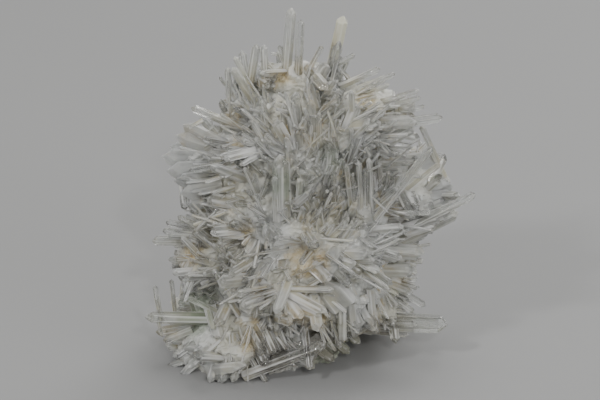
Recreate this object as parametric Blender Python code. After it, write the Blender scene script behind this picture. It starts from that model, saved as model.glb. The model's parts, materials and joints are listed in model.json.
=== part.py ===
"""A cluster of clear and milky quartz crystals, grown together on rough quartz.

Metres, +Z up. The best side faces -Y, and the cluster rests on its flat foot at Z = 0. The crystals
are described in millimetres as the best side shows them, seen from VIEW_TILT above level: across to
the right, up in the view, and toward the viewer from the upright plane through the middle.
"""

import math
import random
from collections import namedtuple

import bmesh
import bpy
from mathutils import Matrix, Vector
from mathutils.geometry import intersect_line_line_2d

MM = 0.001

# Driving sizes, in millimetres and radians
VIEW_TILT = math.radians(25)
MIDDLE_DEPTH = 30.0  # from the front of the foot back to the middle plane
CENTRE_ACROSS = 2.8  # middle of the finished cluster, where its origin goes
CENTRE_TOWARD = 1.2
POINT_SLOPE = 0.62  # height of a crystal's point over its width
LARGEST_POINT = 0.42  # share of a short crystal that its point may take
ROOT_TAPER = 1.12  # width at the root over width at the shoulder
ROOT_STEP = 0.5
ROOT_HOLD = 2.5  # how much deeper a root goes once it has met the rough quartz
DEEPEST_ROOT = 40.0
LUMP_ROUGHNESS = 0.13
FOOT_CUT = 40.0  # depth of the block that cuts the foot flat
CUT_SIZE = 300.0

Crystal = namedtuple("Crystal", "name root tip width flatness turn", defaults=(1.0, 0.3))
Lump = namedtuple("Lump", "name centre radii")
Kind = namedtuple("Kind", "name count width reach root spread spacing flatness")

# Crystals that crowd between the ones listed by name, in the same units
CROWD_SEED = 11
LEAST_RISE = 0.25  # least cosine between a crowd crystal and the surface's normal
CROWDS = (
    Kind("block", 40, (6, 11), (3, 8), 8, 0.6, 8.5, (0.4, 0.85)),
    Kind("prism", 66, (2.4, 5), (5, 13), 4, 0.6, 4.5, (0.6, 1)),
)

# Rough quartz that carries the crystals: seen centre, and radii in X, Y and Z
LUMPS = (
    Lump("base", (-11, 22, -1), (33, 26, 18)),
    Lump("foot", (-22, 13, 9), (20, 21, 13)),
    Lump("heel", (21, 31, -5), (17, 22, 16)),
    Lump("belly", (-2, 36, 1), (36, 26, 20)),
    Lump("waist", (1, 48, 0), (37, 25, 20)),
    Lump("left_hip", (-29, 45, 4), (11, 16, 11)),
    Lump("right_hip", (36, 63, -2), (13, 13, 14)),
    Lump("ribs", (0, 60, 0), (35, 24, 18)),
    Lump("chest", (-2, 71, -1), (33, 22, 18)),
    Lump("left_shoulder", (-31, 73, 0), (11, 10, 12)),
    Lump("collar", (0, 82, 0), (29, 19, 14)),
    Lump("right_shoulder", (20, 88, 1), (15, 13, 11)),
    Lump("neck", (-4, 90, 0), (22, 16, 12)),
    Lump("head", (-2, 101, -1), (14, 9, 6)),
)

# Outline of the crowd of small crystals in the view, across and up
CROWD_OUTLINE = (
    (-41, 0), (-12, 0), (4, 5), (16, 13), (30, 17), (38, 26), (42, 38), (45, 52), (53, 62), (49, 76),
    (40, 84), (38, 93), (28, 100), (16, 106), (-12, 108), (-22, 104), (-27, 92), (-38, 86),
    (-46, 75), (-38, 60), (-44, 51), (-44, 38), (-38, 30), (-47, 24), (-45, 8),
)


def crystal(name, root, tip, width, **more):
    """A crystal from its root and tip, each as (across, up, toward)."""
    return Crystal(name, root, tip, width, **more)


CRYSTALS = (
    # Crown
    crystal("crown_tall", (-5.6, 92, 2), (-2.7, 123.7, 0), 3.7),
    crystal("crown_twin", (-1.2, 92, 4), (0.3, 119.7, 3), 3.0),
    crystal("crown_stub", (-4, 101, 0), (-6.7, 111.7, 1), 2.0),
    crystal("crown_cream", (9, 98, -2), (14.3, 121.3, -3), 4.7),
    crystal("crown_facet", (9, 97, 3), (12.8, 113, 4), 7.3, flatness=0.5),
    crystal("crown_thin", (1.5, 101, 3), (7.3, 111.3, 4), 2.0),
    crystal("crown_bright", (4, 101, 6), (18, 108.7, 8), 2.3),
    crystal("pair_left", (-17.4, 93, 3), (-14, 112, 4), 3.0),
    crystal("pair_right", (-11, 93, 3), (-11.7, 111.7, 4), 2.7),
    crystal("left_pointed", (-16.5, 95, 0), (-19, 110.3, -1), 3.0),
    crystal("left_flat_top", (-14, 94, 5), (-21.3, 108, 5), 2.0),
    crystal("left_white", (-14, 92, 8), (-22, 104.3, 9), 3.0),
    crystal("left_stepped", (-22.8, 88, 2), (-23.7, 104.7, 2), 2.4),
    crystal("left_dark", (-22, 84, 4), (-26, 94.3, 4), 2.7),
    # Fan at the upper right
    crystal("fan_top", (13, 98.5, 2), (26.3, 104.3, 2), 2.7),
    crystal("fan_second", (16, 97, 0), (31.3, 102.7, -2), 2.3),
    crystal("fan_third", (18, 95, 3), (29.3, 99, 5), 2.0),
    crystal("fan_fourth", (20, 91.5, 4), (39, 97, 6), 2.3),
    crystal("fan_fifth", (20, 89, 6), (39.3, 94.7, 9), 2.3),
    crystal("fan_sixth", (22, 88.5, 3), (41, 92, 4), 2.3),
    crystal("fan_clear", (22, 85, 6), (46.7, 88.3, 8), 3.7),
    crystal("fan_blade", (10, 85, 12), (38, 86.7, 16), 7.3, flatness=0.45, turn=0.0),
    # Right side
    crystal("right_upright", (48, 69, 0), (39.7, 85.7, 4), 2.3),
    crystal("right_bright", (25, 55, 16), (42.7, 78.7, 20), 3.0),
    crystal("plate_1", (28, 73, -3), (47.3, 75.7, -5), 6.8, flatness=0.42),
    crystal("plate_2", (28, 70, 0), (48, 72.6, -1), 6.8, flatness=0.42),
    crystal("plate_3", (30, 66.5, 2), (48.3, 69.3, 1), 6.8, flatness=0.42),
    crystal("plate_4", (32, 63, 0), (51, 66, 0), 6.8, flatness=0.42),
    crystal("plate_5", (30, 60, 4), (52.5, 62.5, 4), 6.8, flatness=0.42),
    crystal("right_spike", (30, 49.5, 10), (57.7, 63.3, 14), 3.4),
    crystal("right_green", (28, 45, 8), (52.7, 57.3, 8), 4.7, flatness=0.8),
    crystal("right_level", (24, 57, 18), (43.3, 57.3, 22), 2.0),
    crystal("right_block", (16, 45.5, 16), (41.3, 44, 18), 6.7, flatness=0.7),
    crystal("right_pink", (20, 38.5, 14), (38.3, 38.3, 16), 6.0, flatness=0.8),
    crystal("right_low", (24, 36, 10), (37.3, 30.7, 13), 4.7, flatness=0.8),
    crystal("right_striped", (25, 36, 6), (42.3, 25.7, 9), 2.7),
    crystal("right_brown", (23, 34, 9), (38.3, 23.7, 12), 2.7),
    crystal("large_prism", (18, 20.6, 6), (49.7, 19.7, 14), 6.7, turn=0.5236),
    crystal("under_prism", (31, 22, 10), (32.3, 13, 14), 4.0),
    # Underside at the front and right
    crystal("curtain_1", (14, 26, 24), (14.3, 14, 25), 3.3),
    crystal("curtain_2", (17, 27, 22), (18.3, 15.5, 23), 2.6),
    crystal("curtain_3", (23, 32, 18), (24.3, 19, 20), 3.0),
    crystal("under_1", (12, 20, 8), (20.3, 13, 12), 3.8, flatness=0.8),
    crystal("under_2", (8, 17, 12), (16.7, 9.7, 15), 4.0, flatness=0.8),
    crystal("under_3", (3, 14, 16), (11.7, 7.3, 19), 4.2, flatness=0.8),
    crystal("under_4", (-5, 12, 18), (5, 5, 22), 4.0, flatness=0.8),
    crystal("big_diagonal", (-19, 3, 28), (8.3, 13.7, 28), 5.0),
    crystal("pink_spike", (-18, 12, 24), (-11, 0.6, 28), 2.2),
    crystal("foot_1", (-28, 8, 24), (-30, 0.6, 29), 3.2),
    crystal("foot_2", (-24, 8, 25), (-26, 0.6, 30), 3.2),
    crystal("foot_3", (-20, 9, 25), (-22.5, 0.8, 30), 3.2),
    crystal("foot_corner", (-33, 9, 18), (-40, 0.6, 22), 4.5),
    crystal("lobe_low", (-32, 9, 14), (-44.7, 4.7, 16), 4.4, flatness=0.8),
    crystal("lobe_mid", (-32, 13, 12), (-43, 8.5, 13), 4.0, flatness=0.8),
    crystal("lobe_high", (-32, 15, 12), (-44, 13.7, 12), 3.4, flatness=0.8),
    # Left side
    crystal("left_green", (-26, 21.5, 14), (-52, 22.3, 16), 5.8, flatness=0.75),
    crystal("left_thin", (-46.6, 21, 14), (-48.3, 33, 14), 1.9),
    crystal("left_thin_inner", (-42, 22, 14), (-43.3, 34.7, 13), 1.9),
    crystal("left_low", (-36, 19, 12), (-48.5, 17, 13), 3.4),
    crystal("left_lowest", (-36, 18, 14), (-46, 14, 14), 3.2),
    crystal("left_small", (-32, 39, 8), (-42.7, 36.7, 8), 2.2),
    crystal("left_cream", (-31, 44, 14), (-37.3, 34.3, 20), 2.0),
    crystal("left_broad", (-30, 48, 6), (-49.3, 47.7, 6), 3.7),
    crystal("left_second", (-30, 49, 9), (-45.7, 51.3, 10), 2.4),
    crystal("left_third", (-30, 51, 6), (-44.7, 54, 5), 2.4),
    crystal("left_spike", (-25, 48, 18), (-40.3, 56, 22), 2.2),
    crystal("left_fan_1", (-22, 29, 22), (-28.3, 38.7, 27), 2.4),
    crystal("left_fan_2", (-22, 39, 22), (-28.7, 47, 27), 2.2),
    crystal("left_fan_3", (-29, 39, 16), (-39, 49.3, 18), 2.2),
    crystal("shelf_1", (-26, 74, 4), (-45.7, 75.7, 3), 6.6, flatness=0.42),
    crystal("shelf_2", (-26, 76, 2), (-43, 79, 0), 6.6, flatness=0.42),
    crystal("shelf_3", (-24, 77, 4), (-41, 82.6, 3), 6.6, flatness=0.42),
    crystal("shelf_4", (-22, 78, 2), (-38.5, 86, 1), 6.6, flatness=0.42),
    crystal("shelf_5", (-26, 71, 6), (-44, 71, 6), 6.6, flatness=0.42),
    crystal("shelf_6", (-26, 69, 4), (-41.5, 67.5, 4), 6.6, flatness=0.42),
    crystal("shelf_7", (-25, 66, 6), (-39.5, 63.5, 6), 6.6, flatness=0.42),
    crystal("shelf_8", (-25, 63, 5), (-37, 59.6, 5), 6.6, flatness=0.42),
    crystal("shelf_spike", (-17, 84, 15), (-35.3, 91.3, 18), 3.0),
    # Front
    crystal("front_upright", (-6.3, 56, 22), (-6.3, 76, 27), 6.6, flatness=0.8),
    crystal("front_bright", (-13.6, 60, 24), (-9.6, 69.5, 29), 2.4),
    crystal("front_blade", (0.5, 71, 20), (-1.5, 96.5, 18), 11.0, flatness=0.35, turn=0.0),
    crystal("front_long", (-10.3, 79, 20), (-12.8, 95, 21), 2.2),
    crystal("front_slant", (-14, 75, 21), (-36.3, 71, 22), 2.7),
    crystal("front_bar", (-12, 41, 26), (-17.7, 30.7, 33), 2.7),
    crystal("front_white", (18, 42.5, 22), (26.3, 38, 28), 2.7),
    crystal("front_needle", (11, 57, 24), (11, 71, 27), 2.0),
    crystal("group_1", (17, 57, 22), (15, 73, 24), 2.2),
    crystal("group_2", (20, 57, 22), (19, 74, 24), 2.2),
    crystal("group_3", (23.5, 58, 20), (22.5, 75, 23), 2.2),
    crystal("group_4", (26, 59, 19), (26, 74, 21), 2.0),
    crystal("front_low_1", (-4, 34, 24), (-8, 24, 33), 4.0, flatness=0.7),
    crystal("front_low_2", (4, 30, 25), (6, 18, 33), 4.4, flatness=0.7),
    crystal("front_low_3", (-30, 26, 20), (-26, 12, 28), 5.0, flatness=0.7),
    crystal("front_mid_1", (2, 50, 25), (5, 46, 37), 4.6, flatness=0.8),
    crystal("front_mid_2", (-18, 52, 22), (-22, 54, 33), 4.0, flatness=0.8),
    crystal("front_mid_3", (12, 38, 24), (16, 34, 35), 4.0, flatness=0.8),
)


def clear_scene():
    for obj in list(bpy.data.objects):
        bpy.data.objects.remove(obj, do_unlink=True)


def new_collection(name):
    collection = bpy.data.collections.new(name)
    bpy.context.scene.collection.children.link(collection)
    return collection


def placed(across, up, toward):
    """The point, in metres, that the view shows at across and up, that far in front of the middle."""
    depth = MIDDLE_DEPTH - toward
    height = (up - depth * math.sin(VIEW_TILT)) / math.cos(VIEW_TILT)
    return Vector((across - CENTRE_ACROSS, CENTRE_TOWARD - toward, height)) * MM


def seen(point):
    """Across and up in the view, in millimetres, of a point in metres."""
    x, y, z = point / MM
    depth = MIDDLE_DEPTH + y - CENTRE_TOWARD
    up = z * math.cos(VIEW_TILT) + depth * math.sin(VIEW_TILT)
    return x + CENTRE_ACROSS, up


def frame_along(root, tip):
    """A matrix that stands +Z on the line from root to tip."""
    turned = (tip - root).to_track_quat("Z", "Y").to_matrix().to_4x4()
    return Matrix.Translation(root) @ turned


def add_crystal(bm, root, tip, width, flatness, turn):
    """A six-sided prism from root to shoulder, closed by six faces that meet in a point."""
    length = (tip - root).length
    point = min(width * POINT_SLOPE, length * LARGEST_POINT)
    shaft = length - point
    made = bmesh.ops.create_cone(
        bm,
        cap_ends=True,
        segments=6,
        radius1=width * ROOT_TAPER / 2,
        radius2=width / 2,
        depth=shaft,
        matrix=Matrix.Translation((0, 0, shaft / 2)),
    )["verts"]
    sides = {face for vert in made for face in vert.link_faces}
    end = max(sides, key=lambda face: face.calc_center_median().z)
    apex = bmesh.ops.poke(bm, faces=[end])["verts"][0]
    apex.co += Vector((width * 0.12, width * 0.07, point))
    shape = Matrix.Rotation(turn, 4, "Z") @ Matrix.Diagonal((1, flatness, 1, 1))
    bmesh.ops.transform(bm, verts=made + [apex], matrix=frame_along(root, tip) @ shape)


def add_lump(bm, lump, rng):
    """A rough ball stretched to the lump's radii."""
    made = bmesh.ops.create_icosphere(bm, subdivisions=2, radius=1)["verts"]
    for vert in made:
        vert.co *= 1 + rng.uniform(-LUMP_ROUGHNESS, LUMP_ROUGHNESS)
    stretch = Matrix.Diagonal((*(radius * MM for radius in lump.radii), 1))
    bmesh.ops.transform(bm, verts=made, matrix=Matrix.Translation(placed(*lump.centre)) @ stretch)


def inside_outline(point):
    """Whether the view shows a point within the crowd's outline."""
    across, up = seen(point)
    far = Vector((1000.0, up + 0.01))
    here = Vector((across, up))
    corners = [Vector(corner) for corner in CROWD_OUTLINE]
    crossings = sum(
        intersect_line_line_2d(here, far, a, b) is not None
        for a, b in zip(corners, corners[1:] + corners[:1])
    )
    return crossings % 2 == 1


def within_lump(point, lump):
    offset = (point - placed(*lump.centre)) / MM
    return sum((part / radius) ** 2 for part, radius in zip(offset, lump.radii)) < 1


def in_rough_quartz(point):
    return any(within_lump(point, lump) for lump in LUMPS)


def rooted(spec):
    """Root and tip of a listed crystal, let back together until its root lies in the rough quartz."""
    across, up, toward = spec.root
    back = 0.0
    while not in_rough_quartz(placed(across, up, toward - back)) and back < DEEPEST_ROOT:
        back += ROOT_STEP
    if back >= DEEPEST_ROOT:
        back = 0.0
    elif back:
        back += ROOT_HOLD
    tip_across, tip_up, tip_toward = spec.tip
    return placed(across, up, toward - back), placed(tip_across, tip_up, tip_toward - back)


def random_way(rng):
    return Vector((rng.gauss(0, 1), rng.gauss(0, 1), rng.gauss(0, 1)))


def crowd(rng, kind):
    """Roots, tips and widths, in metres, of crystals of one kind that stand out all round the lumps."""
    found = []
    while len(found) < kind.count:
        lump = rng.choice(LUMPS)
        way = random_way(rng).normalized()
        offset = Vector(part * radius for part, radius in zip(way, lump.radii)) * MM
        surface = placed(*lump.centre) + offset
        if any(within_lump(surface, other) for other in LUMPS if other is not lump):
            continue
        if any((surface - other).length < kind.spacing * MM for _, _, _, other in found):
            continue
        normal = Vector(part / radius for part, radius in zip(way, lump.radii)).normalized()
        aim = (normal + random_way(rng) * kind.spread).normalized()
        width = rng.uniform(*kind.width) * MM
        tip = surface + aim * rng.uniform(*kind.reach) * MM
        if aim.dot(normal) < LEAST_RISE or tip.z < width / 2 or not inside_outline(tip):
            continue
        found.append((surface - aim * kind.root * MM, tip, width, surface))
    return found


def mesh_object(name, bm, collection):
    mesh = bpy.data.meshes.new(name)
    bm.to_mesh(mesh)
    bm.free()
    obj = bpy.data.objects.new(name, mesh)
    collection.objects.link(obj)
    return obj


def helper(name, bm, collection):
    """An object that is only joined to the cluster or cut from it."""
    obj = mesh_object(name, bm, collection)
    obj.hide_render = True
    obj.display_type = "WIRE"
    return obj


def boolean(obj, other, operation):
    modifier = obj.modifiers.new(operation.lower(), "BOOLEAN")
    modifier.operation = operation
    modifier.solver = "EXACT"
    if isinstance(other, bpy.types.Collection):
        modifier.operand_type = "COLLECTION"
        modifier.collection = other
    else:
        modifier.object = other
    return modifier


def quartz_material():
    material = bpy.data.materials.new("milky_quartz")
    material.use_nodes = True
    shader = material.node_tree.nodes["Principled BSDF"]
    shader.inputs["Base Color"].default_value = (0.62, 0.62, 0.58, 1)
    shader.inputs["Roughness"].default_value = 0.12
    shader.inputs["Metallic"].default_value = 0
    return material


def islands(bm):
    """The connected groups of faces."""
    left = set(bm.faces)
    groups = []
    while left:
        stack = [left.pop()]
        group = []
        while stack:
            face = stack.pop()
            group.append(face)
            near = {other for edge in face.edges for other in edge.link_faces}
            for other in near & left:
                left.remove(other)
                stack.append(other)
        groups.append(group)
    return groups


def keep_outer_skin(obj):
    """Makes the modifiers' result the mesh, and fills any hollow that the crystals shut in."""
    graph = bpy.context.evaluated_depsgraph_get()
    mesh = bpy.data.meshes.new_from_object(obj.evaluated_get(graph))
    obj.modifiers.clear()
    obj.data = mesh
    bm = bmesh.new()
    bm.from_mesh(mesh)
    groups = islands(bm)
    outer = max(groups, key=len)
    inner = [face for group in groups if group is not outer for face in group]
    bmesh.ops.delete(bm, geom=inner, context="FACES")
    bmesh.ops.triangulate(bm, faces=bm.faces)
    bm.to_mesh(mesh)
    bm.free()


def build():
    clear_scene()
    rng = random.Random(CROWD_SEED)
    part = new_collection("quartz")
    joined = new_collection("crystals_to_join")
    cutters = new_collection("cutters")

    first, *others = LUMPS
    bm = bmesh.new()
    add_lump(bm, first, rng)
    cluster = mesh_object("quartz_cluster", bm, part)
    for lump in others:
        bm = bmesh.new()
        add_lump(bm, lump, rng)
        helper(lump.name, bm, joined)
    for spec in CRYSTALS:
        bm = bmesh.new()
        root, tip = rooted(spec)
        add_crystal(bm, root, tip, spec.width * MM, spec.flatness, spec.turn)
        helper(spec.name, bm, joined)
    for kind in CROWDS:
        for number, (root, tip, width, _) in enumerate(crowd(rng, kind), 1):
            bm = bmesh.new()
            add_crystal(bm, root, tip, width, rng.uniform(*kind.flatness), rng.uniform(0, math.pi / 3))
            helper(f"{kind.name}_{number}", bm, joined)

    bm = bmesh.new()
    block = Matrix.Translation((0, 0, -FOOT_CUT * MM / 2)) @ Matrix.Diagonal(
        (CUT_SIZE * MM, CUT_SIZE * MM, FOOT_CUT * MM, 1)
    )
    bmesh.ops.create_cube(bm, size=1, matrix=block)
    foot_cutter = helper("foot_cutter", bm, cutters)

    boolean(cluster, joined, "UNION")
    boolean(cluster, foot_cutter, "DIFFERENCE")
    keep_outer_skin(cluster)
    cluster.data.materials.clear()
    cluster.data.materials.append(quartz_material())


build()
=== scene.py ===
"""The finish of a quartz cluster: clear and milky crystals, grown together on rough quartz.

The crystals are described in millimetres as the best side shows them, seen from VIEW_TILT above
level: across to the right, up in the view, and toward the viewer from the upright middle plane.
"""

import json
import logging
import math
import random
from dataclasses import dataclass, field
from enum import Enum
from typing import Any, Iterable, Optional, Sequence

import bmesh
import bpy
from mathutils import Matrix, Quaternion, Vector, kdtree, noise
from mathutils.geometry import intersect_line_line_2d

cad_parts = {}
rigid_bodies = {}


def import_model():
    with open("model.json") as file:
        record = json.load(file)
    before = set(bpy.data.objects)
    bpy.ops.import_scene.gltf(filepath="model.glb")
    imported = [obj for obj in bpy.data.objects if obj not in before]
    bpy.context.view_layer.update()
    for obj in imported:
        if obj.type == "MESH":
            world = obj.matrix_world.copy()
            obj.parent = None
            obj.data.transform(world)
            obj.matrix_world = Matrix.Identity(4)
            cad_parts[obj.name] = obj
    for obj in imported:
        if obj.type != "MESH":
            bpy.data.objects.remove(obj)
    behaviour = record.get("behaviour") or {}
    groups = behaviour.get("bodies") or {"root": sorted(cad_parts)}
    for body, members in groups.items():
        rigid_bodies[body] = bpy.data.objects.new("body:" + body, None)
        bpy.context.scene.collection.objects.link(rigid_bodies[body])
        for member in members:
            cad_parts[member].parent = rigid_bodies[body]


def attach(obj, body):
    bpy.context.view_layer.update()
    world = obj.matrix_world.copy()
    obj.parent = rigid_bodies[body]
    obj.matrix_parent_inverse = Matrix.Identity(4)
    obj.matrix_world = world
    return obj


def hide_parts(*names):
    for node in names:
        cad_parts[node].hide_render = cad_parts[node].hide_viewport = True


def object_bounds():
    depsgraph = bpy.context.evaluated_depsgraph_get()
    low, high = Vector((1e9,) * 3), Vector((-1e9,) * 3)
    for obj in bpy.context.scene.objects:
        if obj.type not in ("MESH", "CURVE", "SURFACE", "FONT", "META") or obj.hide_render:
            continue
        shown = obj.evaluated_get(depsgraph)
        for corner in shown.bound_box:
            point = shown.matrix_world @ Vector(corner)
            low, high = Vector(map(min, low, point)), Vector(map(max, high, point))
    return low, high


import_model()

logging.basicConfig(level=logging.INFO, format="%(message)s")
log = logging.getLogger("quartz")

CAD_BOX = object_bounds()
CAD_NODE = "quartz_cluster"
BODY = "root"

# Sizes are in millimetres where nothing else is said
MM = 0.001
VIEW_TILT = math.radians(25)
SIGHT = (0.0, -math.cos(VIEW_TILT), math.sin(VIEW_TILT))  # toward the viewer
MIDDLE_DEPTH = 30.0  # from the front of the foot back to the middle plane
CENTRE_ACROSS = 2.8  # where the view shows the frame's upright axis
CENTRE_TOWARD = 1.2  # how far the axis stands in front of the middle plane
ROOT_STEP = 0.5  # by which a root is let back until it lies in a lump
ROOT_HOLD = 2.5  # by which it is let in further
DEEPEST_ROOT = 40.0
LUMP_ROUGHNESS = 0.13  # as a share of a lump's radius
FAR_AWAY = 1000.0
SLIGHT_RISE = 0.01
WELD = 1e-5
CROWD_SEED = 11
LEAST_RISE = 0.25  # of a crowd's crystal above the skin, as a cosine
FACING = 1.4  # turn of a level crystal that shows its flat side
LEDGE_DEPTH = 2.2
UNSEEN_WAYS = ("front_mid", "front_low")  # they point at the viewer, and guide no others
POINT_TILT = math.radians(51.8)  # between a point's face and the level plane, the same on all quartz

Triple = tuple[float, float, float]
Colour = tuple[float, float, float, float]
Ends = tuple[Vector, Vector]


class Habit(Enum):
    """How a crystal looks inside, from water clear to stained."""

    CLEAR = 0.0
    VEILED = 0.35
    MILKY = 0.75
    CREAM = 1.0


@dataclass(frozen=True)
class Crystal:
    """A crystal from its root and tip, each as (across, up, toward), in millimetres."""

    name: str
    root: Triple
    tip: Triple
    width: float
    flatness: float = 1.0
    turn: float = 0.3
    habit: Habit = Habit.VEILED


@dataclass(frozen=True)
class Lump:
    """A lump of rough quartz: seen centre, and radii in X, Y and Z, in millimetres."""

    name: str
    centre: Triple
    radii: Triple


@dataclass(frozen=True)
class Kind:
    """A kind of crystal that crowds between the listed ones, in millimetres."""

    name: str
    count: int
    width: tuple[float, float]
    reach: tuple[float, float]
    root: float
    spread: float
    spacing: float
    flatness: tuple[float, float]


def row(name: str, *sizes: tuple[Triple, Triple, float], **looks: Any) -> tuple[Crystal, ...]:
    """Numbers crystals that look alike.

    Args:
        name: What they share of their names.
        sizes: The root, tip and width of each.
        looks: What else they share.

    Returns:
        The crystals.
    """
    return tuple(Crystal(f"{name}_{number}", *size, **looks) for number, size in enumerate(sizes, 1))


def ledge(name: str, *sizes: tuple[Triple, Triple, float]) -> tuple[Crystal, ...]:
    """Numbers flat crystals that show their flat sides, and that are all as thick as the ledge.

    Args:
        name: What they share of their names.
        sizes: The root, tip and width of each.

    Returns:
        The crystals.
    """
    return tuple(
        Crystal(f"{name}_{number}", root, tip, width, round(LEDGE_DEPTH / width, 2), FACING)
        for number, (root, tip, width) in enumerate(sizes, 1)
    )


LUMPS = (
    Lump("base", (-11, 22, -1), (33, 26, 18)),
    Lump("foot", (-22, 13, 9), (20, 21, 13)),
    Lump("heel", (21, 31, -5), (17, 22, 16)),
    Lump("belly", (-2, 36, 1), (36, 26, 20)),
    Lump("waist", (1, 48, 0), (37, 25, 20)),
    Lump("left_hip", (-29, 45, 4), (11, 16, 11)),
    Lump("right_hip", (36, 63, -2), (13, 13, 14)),
    Lump("ribs", (0, 60, 0), (35, 24, 18)),
    Lump("chest", (-2, 71, -1), (33, 22, 18)),
    Lump("left_shoulder", (-31, 73, 0), (11, 10, 12)),
    Lump("collar", (0, 82, 0), (29, 19, 14)),
    Lump("right_shoulder", (20, 88, 1), (15, 13, 11)),
    Lump("neck", (-4, 90, 0), (22, 16, 12)),
    Lump("head", (-2, 101, -1), (14, 9, 6)),
)

CROWD_OUTLINE = (
    (-41, 0), (-12, 0), (4, 5), (16, 13), (30, 17), (38, 26), (42, 38), (45, 52), (53, 62), (49, 76),
    (40, 84), (38, 93), (28, 100), (16, 106), (-12, 108), (-22, 104), (-27, 92), (-38, 86),
    (-46, 75), (-38, 60), (-44, 51), (-44, 38), (-38, 30), (-47, 24), (-45, 8),
)

CROWDS = (
    Kind("block", 40, (6, 11), (3, 8), 8, 0.6, 8.5, (0.4, 0.85)),
    Kind("prism", 66, (2.4, 5), (5, 13), 4, 0.6, 4.5, (0.6, 1)),
)

CROWN = (
    Crystal("crown_tall", (-5.6, 92, 2), (-2.7, 123.7, 0), 3.7),
    Crystal("crown_twin", (-1.2, 92, 4), (0.3, 119.7, 3), 3.0, habit=Habit.CLEAR),
    Crystal("crown_stub", (-4, 101, 0), (-6.7, 111.7, 1), 2.0, habit=Habit.CLEAR),
    Crystal("crown_cream", (9, 98, -2), (14.3, 121.3, -3), 4.7, habit=Habit.CREAM),
    Crystal("crown_facet", (9, 97, 3), (12.8, 113, 4), 7.3, flatness=0.5, habit=Habit.CLEAR),
    Crystal("crown_thin", (1.5, 101, 3), (7.3, 111.3, 4), 2.0, habit=Habit.CLEAR),
    Crystal("crown_bright", (4, 101, 6), (18, 108.7, 8), 2.3, habit=Habit.CLEAR),
    Crystal("pair_left", (-17.4, 93, 3), (-14, 112, 4), 3.0),
    Crystal("pair_right", (-11, 93, 3), (-11.7, 111.7, 4), 2.7),
    Crystal("left_pointed", (-16.5, 95, 0), (-19, 110.3, -1), 3.0),
    Crystal("left_flat_top", (-14, 94, 5), (-21.3, 108, 5), 2.0, habit=Habit.MILKY),
    Crystal("left_white", (-14, 92, 8), (-22, 104.3, 9), 3.0, habit=Habit.MILKY),
    Crystal("left_stepped", (-22.8, 88, 2), (-23.7, 104.7, 2), 2.4),
    Crystal("left_dark", (-22, 84, 4), (-26, 94.3, 4), 2.7, habit=Habit.CLEAR),
)

FAN = (
    Crystal("fan_top", (13, 98.5, 2), (26.3, 104.3, 2), 2.7, habit=Habit.CLEAR),
    Crystal("fan_second", (16, 97, 0), (31.3, 102.7, -2), 2.3, habit=Habit.CLEAR),
    Crystal("fan_third", (18, 95, 3), (29.3, 99, 5), 2.0),
    Crystal("fan_fourth", (20, 91.5, 4), (39, 97, 6), 2.3, habit=Habit.CLEAR),
    Crystal("fan_fifth", (20, 89, 6), (39.3, 94.7, 9), 2.3, habit=Habit.CLEAR),
    Crystal("fan_sixth", (22, 88.5, 3), (41, 92, 4), 2.3, habit=Habit.CLEAR),
    Crystal("fan_clear", (22, 85, 6), (46.7, 88.3, 8), 3.7, habit=Habit.CLEAR),
    Crystal("fan_blade", (10, 85, 12), (38, 86.7, 15), 5.4, flatness=0.45, turn=FACING),
)

RIGHT_SIDE = (
    Crystal("right_upright", (48, 69, 0), (39.7, 85.7, 4), 2.3),
    Crystal("right_bright", (25, 55, 16), (42.7, 78.7, 20), 3.0, habit=Habit.CLEAR),
    Crystal("right_spike", (30, 49.5, 10), (57.7, 63.3, 14), 3.4, habit=Habit.CLEAR),
    Crystal("right_green", (28, 45, 8), (52.7, 57.3, 8), 4.7, flatness=0.8),
    Crystal("right_level", (24, 57, 18), (43.3, 57.3, 22), 2.0, habit=Habit.CLEAR),
    Crystal("right_block", (16, 45.5, 16), (41.3, 44, 18), 6.7, flatness=0.7, habit=Habit.MILKY),
    Crystal("right_pink", (20, 38.5, 14), (38.3, 38.3, 16), 6.0, flatness=0.8, habit=Habit.MILKY),
    Crystal("right_low", (24, 36, 10), (37.3, 30.7, 13), 4.7, flatness=0.8, habit=Habit.MILKY),
    Crystal("right_striped", (25, 36, 6), (42.3, 25.7, 9), 2.7),
    Crystal("right_brown", (23, 34, 9), (38.3, 23.7, 12), 2.7),
    Crystal("large_prism", (18, 20.6, 6), (49.7, 19.7, 14), 6.7, turn=0.5236, habit=Habit.CLEAR),
    Crystal("under_prism", (31, 22, 10), (32.3, 13, 14), 4.0),
)

UNDERSIDE = (
    *row(
        "curtain",
        ((14, 26, 24), (14.3, 14, 25), 3.3),
        ((17, 27, 22), (18.3, 15.5, 23), 2.6),
        ((23, 32, 18), (24.3, 19, 20), 3.0),
        habit=Habit.MILKY,
    ),
    *row(
        "under",
        ((12, 20, 8), (20.3, 13, 12), 3.8),
        ((8, 17, 12), (16.7, 9.7, 15), 4.0),
        ((3, 14, 16), (11.7, 7.3, 19), 4.2),
        ((-5, 12, 18), (5, 5, 22), 4.0),
        flatness=0.8,
        habit=Habit.MILKY,
    ),
    Crystal("big_diagonal", (-19, 3, 26), (8.3, 13.7, 26), 5.4, flatness=0.8, habit=Habit.CLEAR),
    Crystal("pink_spike", (-18, 12, 24), (-11, 0.6, 28), 2.2),
    *row(
        "foot",
        ((-28, 8, 24), (-30, 0.6, 29), 3.2),
        ((-24, 8, 25), (-26, 0.6, 30), 3.2),
        ((-20, 9, 25), (-22.5, 0.8, 30), 3.2),
        habit=Habit.MILKY,
    ),
    Crystal("foot_corner", (-33, 9, 18), (-40, 0.6, 22), 4.5, habit=Habit.MILKY),
    Crystal("lobe_low", (-32, 9, 14), (-44.7, 4.7, 16), 4.4, flatness=0.8, habit=Habit.MILKY),
    Crystal("lobe_mid", (-32, 13, 12), (-43, 8.5, 13), 4.0, flatness=0.8, habit=Habit.MILKY),
    Crystal("lobe_high", (-32, 15, 12), (-44, 13.7, 12), 3.4, flatness=0.8, habit=Habit.MILKY),
)

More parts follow.
